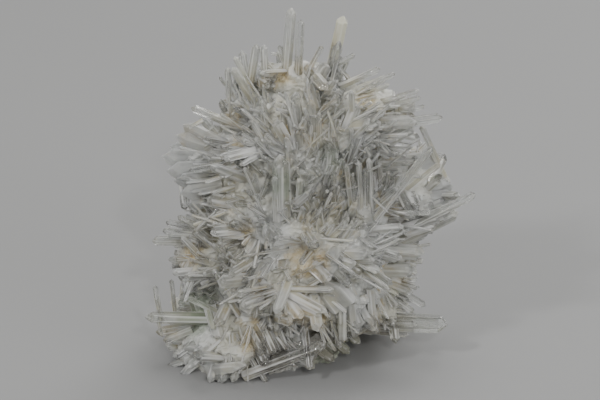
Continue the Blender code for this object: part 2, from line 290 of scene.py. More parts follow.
LEFT_SIDE = (
    Crystal("left_green", (-26, 21.5, 14), (-52, 22.3, 16), 5.8, flatness=0.75),
    Crystal("left_thin", (-46.6, 21, 14), (-48.3, 33, 14), 1.9, habit=Habit.CLEAR),
    Crystal("left_thin_inner", (-42, 22, 14), (-43.3, 34.7, 13), 1.9, habit=Habit.CLEAR),
    Crystal("left_low", (-36, 19, 12), (-48.5, 17, 13), 3.4),
    Crystal("left_lowest", (-36, 18, 14), (-46, 14, 14), 3.2),
    Crystal("left_small", (-32, 39, 8), (-42.7, 36.7, 8), 2.2),
    Crystal("left_cream", (-31, 44, 14), (-37.3, 34.3, 20), 2.0, habit=Habit.CREAM),
    Crystal("left_broad", (-30, 48, 6), (-49.3, 47.7, 6), 3.7),
    Crystal("left_second", (-30, 49, 9), (-45.7, 51.3, 10), 2.4, habit=Habit.CLEAR),
    Crystal("left_third", (-30, 51, 6), (-44.7, 54, 5), 2.4, habit=Habit.CLEAR),
    Crystal("left_spike", (-25, 48, 18), (-40.3, 56, 22), 2.2, habit=Habit.CLEAR),
    Crystal("left_fan_1", (-22, 29, 22), (-28.3, 38.7, 27), 2.4),
    Crystal("left_fan_2", (-22, 39, 22), (-28.7, 47, 27), 2.2),
    Crystal("left_fan_3", (-29, 39, 16), (-39, 49.3, 18), 2.2),
    Crystal("shelf_spike", (-17, 84, 15), (-35.3, 91.3, 18), 3.0),
)

# Flat crystals, grown side by side into thin ledges
LEDGES = (
    *ledge(
        "plate",
        ((28, 73, 7), (47.3, 75.7, 2), 6.8),
        ((28, 70, 10), (48, 72.6, 6), 8.2),
        ((30, 66.5, 12), (48.3, 69.3, 8), 6.4),
        ((32, 63, 10), (51, 66, 7), 8.4),
        ((30, 60, 14), (52.5, 62.5, 11), 7.0),
    ),
    *ledge(
        "shelf",
        ((-26, 74, 11), (-45.7, 75.7, 8), 7.8),
        ((-26, 76, 9), (-43, 79, 5), 6.0),
        ((-24, 77, 11), (-41, 82.6, 8), 7.4),
        ((-22, 78, 9), (-38.5, 86, 6), 5.6),
        ((-26, 71, 13), (-44, 71, 11), 8.0),
        ((-26, 69, 11), (-41.5, 67.5, 9), 6.2),
        ((-25, 66, 13), (-39.5, 63.5, 11), 7.2),
        ((-25, 63, 12), (-37, 59.6, 10), 5.6),
    ),
)

FRONT = (
    Crystal("front_upright", (-6.3, 56, 22), (-6.3, 76, 27), 6.6, flatness=0.8),
    Crystal("front_bright", (-13.6, 60, 24), (-9.6, 69.5, 29), 2.4, habit=Habit.CLEAR),
    Crystal("front_blade", (0.5, 71, 20), (-1.5, 96.5, 18), 4.4, flatness=0.6, turn=0.0),
    Crystal("front_blade_left", (-3, 72, 20), (-5.5, 93, 18), 3.4, flatness=0.7, turn=0.0),
    Crystal("front_blade_right", (4, 71, 20), (3.5, 94, 18), 3.6, flatness=0.6, turn=0.0),
    Crystal("front_blade_edge", (6.5, 72, 19), (6, 90, 17), 2.8, flatness=0.6, turn=0.0),
    Crystal("front_long", (-10.3, 79, 20), (-12.8, 95, 21), 2.2, habit=Habit.CLEAR),
    Crystal("front_slant", (-14, 75, 21), (-36.3, 71, 22), 2.7, habit=Habit.CLEAR),
    Crystal("front_bar", (-12, 41, 26), (-17.7, 30.7, 33), 2.7),
    Crystal("front_white", (18, 42.5, 22), (26.3, 38, 28), 2.7, habit=Habit.MILKY),
    Crystal("front_needle", (11, 57, 24), (11, 71, 27), 2.0, habit=Habit.CLEAR),
    *row(
        "group",
        ((17, 57, 22), (15, 73, 24), 2.2),
        ((20, 57, 22), (19, 74, 24), 2.2),
        ((23.5, 58, 20), (22.5, 75, 23), 2.2),
        ((26, 59, 19), (26, 74, 21), 2.0),
    ),
    *row(
        "front_low",
        ((-4, 34, 24), (-8, 24, 33), 4.0),
        ((4, 30, 25), (6, 18, 33), 4.4),
        ((-30, 26, 20), (-26, 12, 28), 5.0),
        flatness=0.7,
        habit=Habit.MILKY,
    ),
    *row(
        "front_mid",
        ((2, 50, 25), (5, 46, 37), 4.6),
        ((-18, 52, 22), (-22, 54, 33), 4.0),
        ((12, 38, 24), (16, 34, 35), 4.0),
        flatness=0.8,
    ),
)

SMALL_NEEDLES = (
    Crystal("needle_crown_left", (-24.3, 99, 2), (-26.3, 101.5, 3), 1.3, habit=Habit.CLEAR),
    Crystal("needle_across_crown", (2, 96.6, 13), (-17.7, 97, 15), 1.5, habit=Habit.CLEAR),
    Crystal("needle_by_cream", (16.3, 100.5, 1), (12.3, 105.3, 2), 1.4, habit=Habit.CLEAR),
    Crystal("needle_crown_back", (-6.7, 102, -3), (-7.3, 109, -3), 1.3, habit=Habit.CLEAR),
    Crystal("needle_crown_low", (-5, 108, -2), (-9.7, 109.4, -2), 1.1, habit=Habit.CLEAR),
    Crystal("needle_left_upper", (-31.5, 87.3, 12), (-36.3, 84.7, 13), 1.4),
    Crystal("needle_left_rising", (-30, 84, 12), (-33, 88.6, 13), 1.4),
    Crystal("needle_mid_upright", (-14.3, 58.5, 25), (-15.3, 65.5, 27), 1.3, habit=Habit.CLEAR),
    Crystal("needle_mid_level", (-14, 59.7, 25), (-21.3, 60, 28), 1.5, habit=Habit.CLEAR),
    Crystal("needle_on_green", (-47.2, 20.5, 16), (-46, 15.5, 17), 1.3),
    Crystal("needle_sparkle", (-8.5, 82.3, 20), (-16.9, 78.5, 23), 1.8, habit=Habit.CLEAR),
    Crystal("needle_low_level", (7.5, 34.5, 28), (16.9, 33, 32), 1.7, habit=Habit.CLEAR),
    Crystal("needle_hanging", (-17, 16, 27), (-17, 8.3, 31), 2.1, habit=Habit.MILKY),
    Crystal("needle_stub", (-13, 10.5, 27), (-9, 5.8, 29), 2.3, habit=Habit.MILKY),
    Crystal("needle_white", (11.7, 68, 23), (11.7, 75.4, 26), 2.0, habit=Habit.MILKY),
    Crystal("needle_white_upper", (16.7, 77.5, 20), (16.9, 85, 22), 2.2, habit=Habit.MILKY),
    Crystal("group_5", (21.6, 57.5, 22), (21, 71.5, 25), 1.6, habit=Habit.CLEAR),
    Crystal("group_6", (18.4, 56, 23), (17, 69.5, 26), 1.5, habit=Habit.CLEAR),
    Crystal("group_7", (24.7, 60, 20), (24.6, 76.6, 22), 1.5, habit=Habit.CLEAR),
    Crystal("group_8", (28, 58, 18), (29, 71, 20), 1.7),
)


def placed(across: float, up: float, toward: float) -> Vector:
    """The point, in metres, that the view shows at across and up, that far toward the viewer.

    Args:
        across: Millimetres to the right of the view's middle.
        up: Millimetres above the front of the foot, in the view.
        toward: Millimetres in front of the middle plane.

    Returns:
        The point, in metres, in the cluster's frame.
    """
    depth = MIDDLE_DEPTH - toward
    height = (up - depth * math.sin(VIEW_TILT)) / math.cos(VIEW_TILT)
    return Vector((across - CENTRE_ACROSS, CENTRE_TOWARD - toward, height)) * MM


def seen(point: Vector) -> tuple[float, float]:
    """Where the view shows a point.

    Args:
        point: The point, in metres.

    Returns:
        Across and up in the view, in millimetres.
    """
    x, y, z = point / MM
    depth = MIDDLE_DEPTH + y - CENTRE_TOWARD
    return x + CENTRE_ACROSS, z * math.cos(VIEW_TILT) + depth * math.sin(VIEW_TILT)


def within_lump(point: Vector, lump: Lump) -> bool:
    """Whether a point lies in a lump's ellipsoid."""
    offset = (point - placed(*lump.centre)) / MM
    return sum((part / radius) ** 2 for part, radius in zip(offset, lump.radii)) < 1


def in_rough_quartz(point: Vector) -> bool:
    """Whether a point lies in any lump."""
    return any(within_lump(point, lump) for lump in LUMPS)


def inside_outline(point: Vector) -> bool:
    """Tells whether the view shows a point within the crowd's outline.

    Args:
        point: The point, in metres.

    Returns:
        Whether a line from there to far away crosses the outline an odd number of times.
    """
    across, up = seen(point)
    here, far = Vector((across, up)), Vector((FAR_AWAY, up + SLIGHT_RISE))
    corners = [Vector(corner) for corner in CROWD_OUTLINE]
    crossings = sum(
        intersect_line_line_2d(here, far, a, b) is not None
        for a, b in zip(corners, corners[1:] + corners[:1])
    )
    return crossings % 2 == 1


def random_way(rng: random.Random) -> Vector:
    """A vector in a random direction."""
    return Vector((rng.gauss(0, 1), rng.gauss(0, 1), rng.gauss(0, 1)))


def limited(value: float, high: float = 1.0) -> float:
    """A number, kept between 0 and high."""
    return min(max(value, 0.0), high)


def grounded(point: Vector) -> Vector:
    """A point, lifted to the ground if it lies under it."""
    return Vector((point.x, point.y, max(point.z, 0.0)))


def linked(name: str, data: Any) -> bpy.types.Object:
    """Makes an object and puts it in the scene.

    Args:
        name: Its name.
        data: Its mesh, light or camera.

    Returns:
        The object, at the origin.
    """
    made = bpy.data.objects.new(name, data)
    bpy.context.scene.collection.objects.link(made)
    return made


def settle(piece: bpy.types.Object) -> None:
    """Turns a piece's modifiers into a plain mesh.

    Args:
        piece: The piece, which keeps its name.
    """
    settled = piece.evaluated_get(bpy.context.evaluated_depsgraph_get())
    plain = bpy.data.meshes.new_from_object(settled)
    piece.modifiers.clear()
    piece.data = plain


def frame_along(root: Vector, tip: Vector) -> Matrix:
    """A matrix that stands +Z on the line from root to tip."""
    return Matrix.Translation(root) @ (tip - root).to_track_quat("Z", "Y").to_matrix().to_4x4()


@dataclass
class CrystalCutter:
    """Cuts one crystal out of a six-sided blank by its point's six planes, as quartz grows.

    Sizes are in millimetres. The crystal stands on the origin along +Z.
    """

    rng: random.Random
    root_taper: float = 1.12  # width at the root, as a share of the width
    tip_taper: float = 0.98
    uneven: float = 0.22  # how far every other side is cut in, at most
    stand_out: tuple[float, float] = (0.02, 0.12)  # of every other face of the point
    worn_edge: float = 0.022

    def cut(
        self, length: float, width: float, slant: float = 0.0, bevelled: bool = True
    ) -> bmesh.types.BMesh:
        """Makes the crystal.

        Args:
            length: From root to tip.
            width: Between opposite edges of the prism.
            slant: How far one face of the point is cut in, as a share of the width.
            bevelled: Whether the edges are rounded off by a bevel.

        Returns:
            A closed mesh.
        """
        blank = bmesh.new()
        bmesh.ops.create_cone(
            blank,
            cap_ends=True,
            segments=6,
            radius1=width * self.root_taper / 2,
            radius2=width * self.tip_taper / 2,
            depth=length,
            matrix=Matrix.Translation((0, 0, length / 2)),
        )
        inner = width * math.cos(math.pi / 6) / 2
        first = self.rng.randrange(6)
        for side in range(6):
            angle = math.radians(60 * side)
            level = Vector((math.cos(angle), math.sin(angle), 0))
            if self.uneven and side % 2 == first % 2:
                self._plane(blank, level * inner * (1 - self.rng.uniform(0, self.uneven)), level)
            face = level * math.sin(POINT_TILT) + Vector((0, 0, math.cos(POINT_TILT)))
            grown = -self.rng.uniform(*self.stand_out) * width if side % 2 else 0.0
            cut_in = slant * width if side == first else 0.0
            self._plane(blank, Vector((0, 0, length)) - face * (grown + cut_in), face)
        if bevelled:
            bmesh.ops.bevel(
                blank,
                geom=blank.edges[:],
                offset=width * self.worn_edge,
                segments=1,
                affect="EDGES",
                profile=0.5,
                clamp_overlap=True,
            )
        return blank

    @staticmethod
    def _plane(mesh: bmesh.types.BMesh, through: Vector, normal: Vector) -> None:
        """Cuts away what lies outside a plane and closes the cut.

        Args:
            mesh: The crystal.
            through: A point of the plane.
            normal: The way outside.
        """
        geom = mesh.verts[:] + mesh.edges[:] + mesh.faces[:]
        bmesh.ops.bisect_plane(
            mesh, geom=geom, dist=WELD, plane_co=through, plane_no=normal, clear_outer=True
        )
        rim = [edge for edge in mesh.edges if edge.is_boundary]
        if rim:
            bmesh.ops.edgeloop_fill(mesh, edges=rim)


@dataclass
class Gathering:
    """Collects many crystals into one mesh, with what each point needs to know about its crystal."""

    name: str
    points: list[Vector] = field(default_factory=list)
    faces: list[list[int]] = field(default_factory=list)
    along: list[float] = field(default_factory=list)
    inner: list[float] = field(default_factory=list)
    milk: list[float] = field(default_factory=list)
    tone: list[float] = field(default_factory=list)

    def add(
        self,
        part: bmesh.types.BMesh,
        length: float,
        width: float,
        place: Matrix,
        milk: float,
        tone: float,
    ) -> None:
        """Takes in one crystal that stands along +Z, and frees it.

        Args:
            part: The crystal, in millimetres.
            length: Its length, in millimetres.
            width: Its width, in millimetres.
            place: Where it goes, from millimetres to metres.
            milk: How milky it is, from 0 to 1.
            tone: A number of its own from 0 to 1, for its tint.
        """
        base = len(self.points)
        part.verts.index_update()
        for vert in part.verts:
            self.points.append(grounded(place @ vert.co))
            self.along.append(limited(vert.co.z / length))
            self.inner.extend(vert.co / width)
            self.milk.append(milk)
            self.tone.append(tone)
        for face in part.faces:
            self.faces.append([base + vert.index for vert in face.verts])
        part.free()

    def finish(self, material: Optional[bpy.types.Material]) -> bpy.types.Object:
        """Makes the object.

        Args:
            material: Its finish, if it gets one here.

        Returns:
            The object, at the origin, with its place in its mesh.
        """
        mesh = bpy.data.meshes.new(self.name)
        mesh.from_pydata(self.points, [], self.faces)
        mesh.update()
        for name in ("along", "milk", "tone"):
            layer = mesh.attributes.new(name, "FLOAT", "POINT")
            layer.data.foreach_set("value", getattr(self, name))
        layer = mesh.attributes.new("inner", "FLOAT_VECTOR", "POINT")
        layer.data.foreach_set("vector", self.inner)
        if material:
            mesh.materials.append(material)
        return linked(self.name, mesh)


@dataclass
class Wire:
    """A shader or geometry socket that takes part in Python arithmetic."""

    graph: "Graph"
    socket: bpy.types.NodeSocket

    def _math(self, operation: str, left: Any, right: Any, clamp: bool = False) -> "Wire":
        """A Math node for two values or sockets."""
        settings = {"operation": operation, "use_clamp": clamp}
        return self.graph.out("ShaderNodeMath", 0, settings, {0: left, 1: right})

    def __add__(self, other: Any) -> "Wire":
        """Sum."""
        return self._math("ADD", self, other)

    def __radd__(self, other: Any) -> "Wire":
        """Sum, turned round."""
        return self._math("ADD", other, self)

    def __sub__(self, other: Any) -> "Wire":
        """Difference."""
        return self._math("SUBTRACT", self, other)

    def __rsub__(self, other: Any) -> "Wire":
        """Difference, turned round."""
        return self._math("SUBTRACT", other, self)

    def __mul__(self, other: Any) -> "Wire":
        """Product."""
        return self._math("MULTIPLY", self, other)

    def __rmul__(self, other: Any) -> "Wire":
        """Product, turned round."""
        return self._math("MULTIPLY", other, self)

    def clamped(self) -> "Wire":
        """The value kept between 0 and 1."""
        return self._math("ADD", self, 0.0, clamp=True)

    def at_least(self, other: Any) -> "Wire":
        """The greater of the two."""
        return self._math("MAXIMUM", self, other)

    def over(self, other: Any) -> "Wire":
        """1 where the value is greater than the other, else 0."""
        return self._math("GREATER_THAN", self, other)

    def smooth(self, low: float, high: float) -> "Wire":
        """0 below low, 1 above high, and a smooth step between."""
        values = {"Value": self, "From Min": low, "From Max": high}
        return self.graph.out("ShaderNodeMapRange", 0, {"interpolation_type": "SMOOTHSTEP"}, values)


@dataclass
class Graph:
    """A node tree that is built by one method."""

    tree: bpy.types.NodeTree

    def node(
        self, kind: str, settings: Optional[dict[str, Any]] = None, inputs: Optional[dict[Any, Any]] = None
    ) -> bpy.types.Node:
        """Adds a node.

        Args:
            kind: The node's type.
            settings: Its own settings, which are set first.
            inputs: Values or wires by socket name or number.

        Returns:
            The node.
        """
        made = self.tree.nodes.new(kind)
        for key, value in (settings or {}).items():
            setattr(made, key, value)
        for key, value in (inputs or {}).items():
            socket = made.inputs[key]
            if isinstance(value, Wire):
                self.tree.links.new(value.socket, socket)
            elif value is not None:
                socket.default_value = value
        return made

    def out(self, kind: str, output: Any, settings: Any = None, inputs: Any = None) -> Wire:
        """Adds a node and gives one of its outputs."""
        return Wire(self, self.node(kind, settings, inputs).outputs[output])

    def attribute(self, name: str, output: str = "Fac") -> Wire:
        """A number, or a vector, that the mesh carries."""
        return self.out("ShaderNodeAttribute", output, {"attribute_name": name})

    def noise(self, at: Wire, size_mm: float, detail: float = 3.0, rough: float = 0.55) -> Wire:
        """Noise whose largest features are about size_mm across."""
        inputs = {"Vector": at, "Scale": 1 / (size_mm * MM), "Detail": detail, "Roughness": rough}
        return self.out("ShaderNodeTexNoise", 0, None, inputs)

    def thread_noise(self, at: Wire) -> Wire:
        """Noise across a crystal, at a place that is already scaled."""
        inputs = {"Vector": at, "Scale": 1.0, "Detail": 3.0}
        return self.out("ShaderNodeTexNoise", 0, None, inputs)

    def blend(self, factor: Any, low: Any, high: Any) -> Wire:
        """A colour between two colours."""
        return self.out("ShaderNodeMix", 2, {"data_type": "RGBA"}, {0: factor, 6: low, 7: high})

    def vector(self, operation: str, left: Any, right: Any = None, output: Any = 0) -> Wire:
        """A Vector Math node for two vectors."""
        return self.out("ShaderNodeVectorMath", output, {"operation": operation}, {0: left, 1: right})

    def scaled(self, vector: Any, scale: Any) -> Wire:
        """A vector made longer or shorter."""
        inputs = {0: vector, "Scale": scale}
        return self.out("ShaderNodeVectorMath", 0, {"operation": "SCALE"}, inputs)

    def combined(self, x: Any, y: Any, z: Any) -> Wire:
        """A vector of three numbers."""
        return self.out("ShaderNodeCombineXYZ", 0, None, {0: x, 1: y, 2: z})

    def parts(self, vector: Wire) -> tuple[Wire, ...]:
        """A vector's three numbers."""
        made = self.node("ShaderNodeSeparateXYZ", None, {0: vector})
        return tuple(Wire(self, made.outputs[axis]) for axis in range(3))


@dataclass(frozen=True)
class Spot:
    """A stained place, a place of painted shade, or a calm place: seen centre and radius, in millimetres,
    and strength.
    """

    centre: Triple
    radius: float
    strength: float = 1.0

    def holds(self, point: Vector) -> bool:
        """Whether a point lies in it."""
        return (point - placed(*self.centre)).length < self.radius * MM


def within_spots(g: Graph, at: Wire, spots: Iterable[Spot], edge: float, ragged: Any = 0.0) -> Any:
    """Marks spots in a node tree.

    Args:
        g: The tree.
        at: The place that is asked about.
        spots: The spots.
        edge: How wide their soft edges are, as a share of their radii.
        ragged: How far their edges stray there.

    Returns:
        How far the place lies within a spot, from 0 to 1.
    """
    total: Any = 0.0
    for spot in spots:
        gap = g.vector("DISTANCE", at, tuple(placed(*spot.centre)), "Value")
        near = 1 - gap * (1 / (spot.radius * MM)) + ragged
        total = (near.smooth(0.0, edge) * spot.strength).at_least(total)
    return total


@dataclass(frozen=True)
class Skin:
    """What a finish reads at a point of the crystals."""

    graph: Graph
    at: Wire
    inner: Wire  # the place in the crystal, in its own widths
    along: Wire  # 0 at the root and 1 at the tip
    milk: Wire
    tone: Wire
    veils: Wire
    grain: Wire
    streaks: Wire


@dataclass(frozen=True)
class QuartzFinish:
    """Quartz that is water clear at its points and clouded towards its roots.

    Sizes are in millimetres.
    """

    name: str
    clear_tint: Colour = (0.985, 0.99, 0.985, 1)
    clear_shade: Colour = (0.9, 0.91, 0.9, 1)
    clear_roughness: float = 0.045
    ior: float = 1.544
    absorbed: Colour = (0.90, 0.93, 0.88, 1)
    absorption: float = 0.0  # to a metre; none where crystals crowd
    milk_white: Colour = (0.76, 0.77, 0.76, 1)
    milk_grey: Colour = (0.43, 0.44, 0.42, 1)
    # Also the colour of the painted highlight along the prisms' edges
    streak_and_highlight_white: Colour = (0.95, 0.95, 0.93, 1)
    cream: Colour = (0.80, 0.79, 0.66, 1)
    milky_transmission: float = 0.4
    milky_roughness: float = 0.045
    glow: float = 0.6
    glow_depth: float = 1.4
    glow_tint: Triple = (1.0, 1.0, 0.95)
    frost: float = 0.08
    frost_roughness: float = 0.35
    cloud: float = 0.75
    root_cloud: float = 0.6
    veil_cloud: float = 0.9
    least_cloud: float = 0.2
    full_cloud: float = 1.15
    streak_cloud: float = 0.85
    streak_tone: float = 0.6
    # Painted highlight: a band along each prism's edges is clouded and painted white, standing in for the
    # light that the edges catch
    edge_highlight: float = 0.85
    edge_from: float = 0.45  # from a crystal's middle line, as a share of its width
    edge_band: float = 0.055
    tip_frost: float = 0.4
    tip_from: float = 0.92  # from the root, as a share of the length
    root_warm: Colour = (0.75, 0.71, 0.54, 1)
    warmth: float = 0.95
    ochre: Colour = (0.60, 0.49, 0.27, 1)
    ochre_spots: tuple[Spot, ...] = ()
    rust: Colour = (0.36, 0.23, 0.11, 1)
    green: Colour = (0.37, 0.43, 0.32, 1)
    green_spots: tuple[Spot, ...] = ()
    # Painted shade over the real brown matrix, in the hollows and the underside
    matrix_and_shade_brown: Colour = (0.27, 0.24, 0.19, 1)
    speck_black: Colour = (0.03, 0.028, 0.025, 1)
    shade_and_matrix_spots: tuple[Spot, ...] = ()
    spot_edge: float = 0.8
    spot_stray: float = 1.6
    veil_size: float = 9.0
    grain_size: float = 1.2
    thread_shape: Triple = (5.5, 5.5, 0.28)  # features across a crystal, and to a width of its length
    thread_shift: Triple = (31.0, 17.0, 53.0)  # from crystal to crystal
    line_shape: Triple = (0.4, 0.4, 9.0)
    relief: float = 0.6
    relief_depth: float = 0.2

    def material(self) -> bpy.types.Material:
        """Makes the material.

        Returns:
            Clear and milky quartz, mixed by how clouded each place is.
        """
        made = bpy.data.materials.new(self.name)
        made.use_nodes = True
        made.node_tree.nodes.clear()
        g = Graph(made.node_tree)
        skin = self._read(g)
        # Painted highlight: the band along each prism's edges, which is clouded and painted white below
        across = g.vector("MULTIPLY", skin.inner, (1.0, 1.0, 0.0))
        edge = g.vector("LENGTH", across, output="Value")
        edge = edge.smooth(self.edge_from, self.edge_from + self.edge_band) * self.edge_highlight
        both = g.out(
            "ShaderNodeMixShader",
            0,
            None,
            {0: self._cloudiness(skin, edge), 1: self._clear(skin), 2: self._milky(skin, edge)},
        )
        depth = None
        if self.absorption:
            tint = {"Color": self.absorbed, "Density": self.absorption}
            depth = g.out("ShaderNodeVolumeAbsorption", 0, None, tint)
        g.node("ShaderNodeOutputMaterial", None, {"Surface": both, "Volume": depth})
        return made

    def _read(self, g: Graph) -> Skin:
        """Gathers what the finish reads.

        Args:
            g: The material's tree.

        Returns:
            The place, what the mesh carries there, and the patterns that all the looks share.
        """
        at = g.out("ShaderNodeTexCoord", "Object")
        inner = g.attribute("inner", "Vector")
        along, milk, tone = (g.attribute(name) for name in ("along", "milk", "tone"))
        veils, grain = g.noise(at, self.veil_size, 4.0), g.noise(at, self.grain_size)
        threads = g.vector("MULTIPLY", inner, self.thread_shape)
        streaks = g.thread_noise(g.vector("ADD", threads, g.scaled(self.thread_shift, tone)))
        return Skin(g, at, inner, along, milk, tone, veils, grain, streaks)

    def _cloudiness(self, skin: Skin, edge: Wire) -> Wire:
        """Adds up what clouds a crystal.

        Args:
            skin: What the finish reads.
            edge: How far the painted highlight whitens the edges.

        Returns:
            0 where it is water clear, 1 where it is milky.
        """
        cloudy = skin.milk * self.cloud + (1 - skin.along) * self.root_cloud
        cloudy = cloudy + (skin.veils - 0.5) * self.veil_cloud
        cloudy = cloudy + (skin.streaks - 0.5) * self.streak_cloud + self.least_cloud
        # The painted highlight clouds the edges white, and the tips are frosted
        highlit_edges_and_frosted_tips = edge.at_least(skin.along.smooth(self.tip_from, 1.0) * self.tip_frost)
        return (cloudy + highlit_edges_and_frosted_tips).smooth(0.0, self.full_cloud)

    def _clear(self, skin: Skin) -> Wire:
        """Makes the shader of water clear quartz.

        Args:
            skin: What the finish reads.

        Returns:
            The shader.
        """
        shaded = skin.grain.smooth(0.35, 0.75) * 0.25
        inputs = {
            "Base Color": skin.graph.blend(shaded, self.clear_tint, self.clear_shade),
            "Roughness": self.clear_roughness,
            "IOR": self.ior,
            "Transmission Weight": 1.0,
            "Normal": self._normal(skin),
        }
        return skin.graph.out("ShaderNodeBsdfPrincipled", 0, None, inputs)

    def _milky(self, skin: Skin, edge: Wire) -> Wire:
        """Makes the shader of clouded quartz.

        Args:
            skin: What the finish reads.
            edge: How far the painted highlight whitens the edges.

        Returns:
            The shader.
        """
        g = skin.graph
        streaked = skin.streaks.smooth(0.5, 0.75) * self.streak_tone
        colour = g.blend(streaked, self._milk_colour(skin), self.streak_and_highlight_white)
        inputs = {
            # Painted highlight: the edges are painted white
            "Base Color": g.blend(edge, colour, self.streak_and_highlight_white),
            "Roughness": self.milky_roughness,
            "IOR": self.ior,
            "Transmission Weight": self.milky_transmission,
            "Subsurface Weight": self.glow,
            "Subsurface Radius": self.glow_tint,
            "Subsurface Scale": self.glow_depth * MM,
            "Sheen Weight": self.frost,
            "Sheen Roughness": self.frost_roughness,
            "Normal": self._normal(skin),
        }
        return g.out("ShaderNodeBsdfPrincipled", 0, None, inputs)

    def _milk_colour(self, skin: Skin) -> Wire:
        """Mixes the colour of clouded quartz: white points, warm stains towards the hollows, and painted
        shade over brown matrix in the hollows and underside.

        Args:
            skin: What the finish reads.

        Returns:
            The colour.
        """
        g, at = skin.graph, skin.at
        low = 1 - skin.along
        shade = (skin.tone * 0.5 + skin.veils * 0.8 + skin.grain * 0.3 - 0.3).clamped()
        colour = g.blend(shade, self.milk_grey, self.milk_white)
        colour = g.blend(skin.milk.smooth(0.9, 1.0), colour, self.cream)
        region = g.noise(at, 17.0).smooth(0.42, 0.62)
        warm = (0.25 + low.smooth(0.15, 0.75) * 0.75) * (0.2 + region * 0.8) * self.warmth
        colour = g.blend(warm, colour, self.root_warm)
        ragged = g.noise(at, 3.5, 4.0)
        stain = self._in_stains_and_shade(skin, self.ochre_spots, ragged)
        wild = g.noise(at, 13.0, 5.0, 0.62).smooth(0.53, 0.66) * 0.85
        deep = low.smooth(0.2, 0.8)
        stained = (stain * (0.6 + deep * 0.4)).at_least(wild * (0.35 + deep * 0.65))
        colour = g.blend(stained * 0.95, colour, self.ochre)
        rusty = g.noise(at, 1.8, 4.0, 0.6).smooth(0.58, 0.68) * stained
        colour = g.blend(rusty * 0.8, colour, self.rust)
        moss = self._in_stains_and_shade(skin, self.green_spots, g.noise(at, 6.0, 4.0))
        colour = g.blend(moss * 0.85, colour, self.green)
        # Painted shade: the hollows and the underside are darkened to brown, partly the brown matrix that
        # shows there and partly the shade that falls there
        painted_shade_and_matrix = self._in_stains_and_shade(skin, self.shade_and_matrix_spots, ragged)
        specks = g.noise(at, 0.7, 2.0).smooth(0.62, 0.66) * painted_shade_and_matrix.at_least(stained * 0.5)
        colour = g.blend(painted_shade_and_matrix * 0.75, colour, self.matrix_and_shade_brown)
        return g.blend(specks, colour, self.speck_black)

    def _in_stains_and_shade(self, skin: Skin, spots: Iterable[Spot], ragged: Wire) -> Wire:
        """How far each point lies within spots whose edges noise breaks up, from 0 to 1: stains, and the
        painted shade of the hollows and underside.
        """
        stray = (ragged - 0.5) * self.spot_stray
        return within_spots(skin.graph, skin.at, spots, self.spot_edge, stray)

    def _normal(self, skin: Skin) -> Wire:
        """Raises fine growth lines across the prism's faces, and ridges along it.

        Args:
            skin: What the finish reads.

        Returns:
            The normal.
        """
        lines = skin.graph.thread_noise(skin.graph.vector("MULTIPLY", skin.inner, self.line_shape))
        height = lines * 0.5 + skin.streaks * 0.6 + skin.grain * 0.4
        inputs = {"Strength": self.relief, "Distance": self.relief_depth * MM, "Height": height}
        return skin.graph.out("ShaderNodeBump", 0, None, inputs)


OCHRE_SPOTS = (
    Spot((6.7, 95, 14), 7),
    Spot((12, 84.5, 20), 6),
    Spot((-19, 50, 24), 6),
    Spot((0, 23.5, 28), 9),
    Spot((2, 40, 27), 11, 0.9),
    Spot((-26, 57, 20), 6, 0.8),
    Spot((3, 81, 20), 7, 0.8),
    Spot((22, 95, 8), 5),
    Spot((13, 60, 24), 6),
    Spot((-36, 43, 14), 7),
    Spot((-45, 18, 13), 6),
    Spot((6, 106, 2), 6, 0.8),
    Spot((33, 36, 10), 6, 0.8),
    Spot((-21, 84, 16), 7, 0.7),
)

# Hollows and the underside, painted dark brown: partly the brown matrix and dark grains that show there,
# partly painted shade
SHADE_AND_MATRIX_SPOTS = (
    Spot((-33.5, 34, 14), 6),
    Spot((-39, 43, 8), 5, 0.7),
    Spot((9, 111, -2), 4.5),
    Spot((27, 70, 14), 6, 0.8),
    Spot((-7, 7, 28), 16, 0.95),
    Spot((13, 9, 20), 16, 0.9),
    Spot((26, 14, 14), 12, 0.9),
    Spot((2, 14, 27), 9, 0.9),
    Spot((32, 55, 10), 5, 0.7),
    Spot((-11, 67, 22), 4, 0.6),
    Spot((-1, 74, 22), 3, 0.7),
    Spot((-38, 26, 12), 4, 0.8),
)

# Smoother places with few small crystals
CALM_PLACES = (
    Spot((-38, 76, 4), 17, 0.97),
    Spot((-34, 64, 6), 10, 0.9),
    Spot((46, 66, 2), 15, 0.95),
    Spot((-32, 14, 16), 14, 0.85),
    Spot((-20, 6, 26), 12, 0.9),
    Spot((2, 6, 26), 14, 0.95),
    Spot((18, 30, 22), 9, 0.85),
    Spot((-4, 60, 26), 8, 0.8),
    Spot((-21, 25, 26), 13, 0.9),
    Spot((33, 92, 4), 13, 0.9),
    Spot((34, 42, 16), 10, 0.9),
    Spot((20, 10, 18), 13, 0.95),
    Spot((-38, 6, 18), 12, 0.9),
    Spot((-4, 98, 9), 9, 0.9),
    Spot((-15, 99, 8), 7, 0.85),
    Spot((14, 99, 5), 7, 0.85),
)

GREEN_SPOTS = (
    Spot((-35, 24, 14), 12),
    Spot((-6, 66, 26), 9, 0.8),
    Spot((12, 10, 14), 12),
    Spot((10, 75, 20), 9, 0.5),
)


